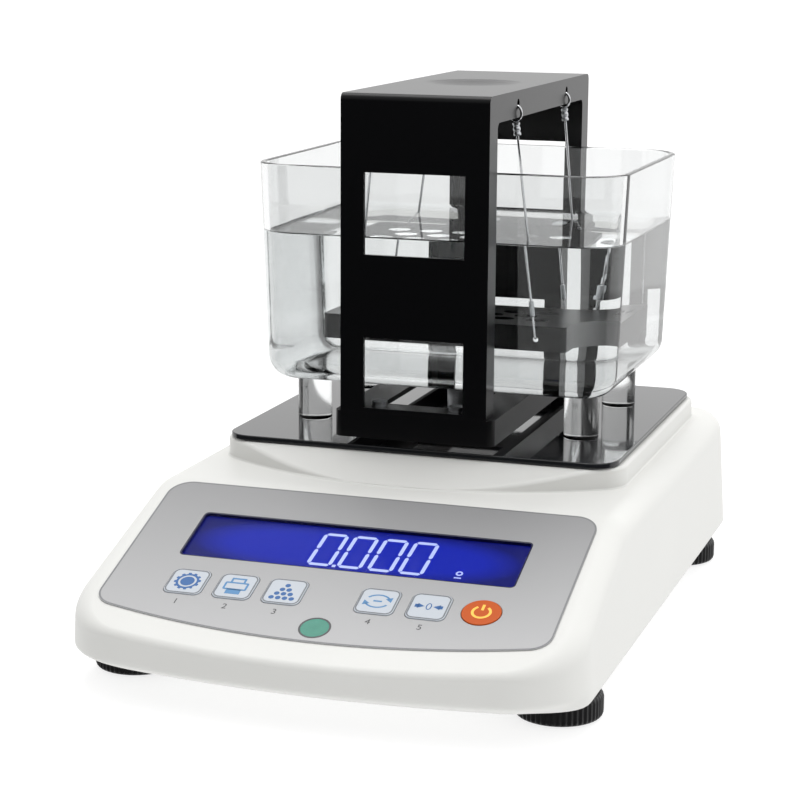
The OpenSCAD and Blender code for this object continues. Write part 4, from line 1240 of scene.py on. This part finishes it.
# %% [markdown]
# ## Feet
# Four black knobs with fine ribs round their rim turn on threaded studs and stand on rubber
# pads. The ribs are a wave in the radius, which fades out at the top and bottom edges.

# %% Ribbed knobs and pads
rib_count, rib_deep, knob_radius = 48, 0.55 * mm, 18 * mm
angle = np.linspace(0, 2 * math.pi, rib_count * 8, endpoint=False)
way = np.stack([np.cos(angle), np.sin(angle)], axis=-1)
wave = 0.5 - 0.5 * np.cos(rib_count * angle)
# Share of the knob's height, inset in millimetres, share of the ribs' depth.
knob_profile = [
    (0.0, 4.7, 0), (0.0, 1.6, 0), (0.03, 0.9, 0.2), (0.1, 0.3, 0.8), (0.2, 0.05, 1),
    (0.5, 0.05, 1), (0.78, 0.05, 1), (0.88, 0.3, 0.8), (0.96, 0.9, 0.3), (1.0, 1.8, 0),
    (1.0, 8.0, 0), (0.86, 9.0, 0), (0.86, 14.5, 0),
]
for foot in ("fl", "fr", "rl", "rr"):
    low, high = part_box(f"foot_knob_{foot}")
    pad_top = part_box(f"foot_pad_{foot}")[1].z
    centre = np.array([(low.x + high.x) / 2, (low.y + high.y) / 2])
    tall = high.z - low.z
    recess = (pad_top - low.z) / tall
    rings = []
    for share, inset, ribs in [(recess, 14.5, 0), (recess, 4.7, 0)] + knob_profile:
        here = knob_radius - inset * mm - ribs * rib_deep * wave
        rings.append(level(centre + way * here[:, None], low.z + tall * share))
    knob = loft(f"ribbed_knob_{foot}", rings, flat_angle=50)
    finish(knob, f"foot_screw_{foot}", "knob_plastic", knob_nylon, f"foot_knob_{foot}")
    pad = softened(f"foot_pad_{foot}", 0.35 * mm, f"rubber_pad_{foot}", 40)
    finish(pad, f"foot_pad_{foot}_body", "foot_rubber", pad_rubber, f"foot_pad_{foot}")

# %% [markdown]
# ## Floor and light
# The photograph was taken in a white sweep. A pale floor and an even white surround give
# that. The surround is a little brighter on the right and dimmer behind the camera. Below
# the level of the floor it is black towards the camera, and mirrors skip the floor, as if a
# black card lay in front of the instrument: that keeps black faces black.

# %% Stage and light
floor_corners = [(60 * x, 60 * y, 0) for x, y in ((-1, -1), (1, -1), (1, 1), (-1, 1))]
floor_mesh = bpy.data.meshes.new("floor")
floor_mesh.from_pydata(floor_corners, [], [(0, 1, 2, 3)])
floor = new_object("floor", floor_mesh)
floor_paint = new_material(
    "floor_paint", Base_Color=srgb("#939393"), Roughness=1.0, Emission_Color=(1, 1, 1, 1),
    Emission_Strength=0.78,
)[0]
floor_mesh.materials.append(floor_paint)
floor.visible_glossy = False

world = bpy.data.worlds.new("studio")
bpy.context.scene.world = world
world.use_nodes = True
background = world.node_tree.nodes["Background"]
background.inputs["Color"].default_value = (1, 1, 1, 1)
place = add_node(world, "ShaderNodeTexCoord")
split = add_node(world, "ShaderNodeSeparateXYZ", links={"Vector": place.outputs["Generated"]})
depth = add_node(
    world, "ShaderNodeMapRange",
    {"From Min": -0.9, "From Max": 0.1, "To Min": 0.5, "To Max": 1.2},
    {"Value": split.outputs["Y"]},
)
sideways = add_node(
    world, "ShaderNodeMath", {1: 0.22}, {0: split.outputs["X"], 2: depth.outputs["Result"]},
    operation="MULTIPLY_ADD",
)
card = add_node(
    world, "ShaderNodeMapRange",
    {"From Min": -0.1, "From Max": 0.1, "To Min": 0.02, "To Max": 1.1},
    {"Value": split.outputs["Y"]},
)
above = add_node(
    world, "ShaderNodeMapRange", {"From Min": 0.0, "From Max": 0.3},
    {"Value": split.outputs["Z"]},
)
factor, dark, light = above.outputs["Result"], card.outputs["Result"], sideways.outputs[0]
strength = add_node(world, "ShaderNodeMix", links={"Factor": factor, "A": dark, "B": light})
join(world, strength.outputs["Result"], background.inputs["Strength"])

lamp = bpy.data.lights.new("top_light", "AREA")
lamp.size, lamp.energy = 1.2, 14
top_light = new_object("top_light", lamp)
top_light.location = (-0.05, 0.15, 1.6)
aim = Vector((0, 0, 0.1)) - top_light.location
top_light.rotation_euler = aim.to_track_quat("-Z", "Y").to_euler()

scene = bpy.context.scene
scene.view_settings.view_transform = "Standard"
scene.cycles.transmission_bounces = 16
scene.cycles.max_bounces = 20
scene.cycles.caustics_refractive = True

# %% Bring the scene up to date
bpy.context.view_layer.update()
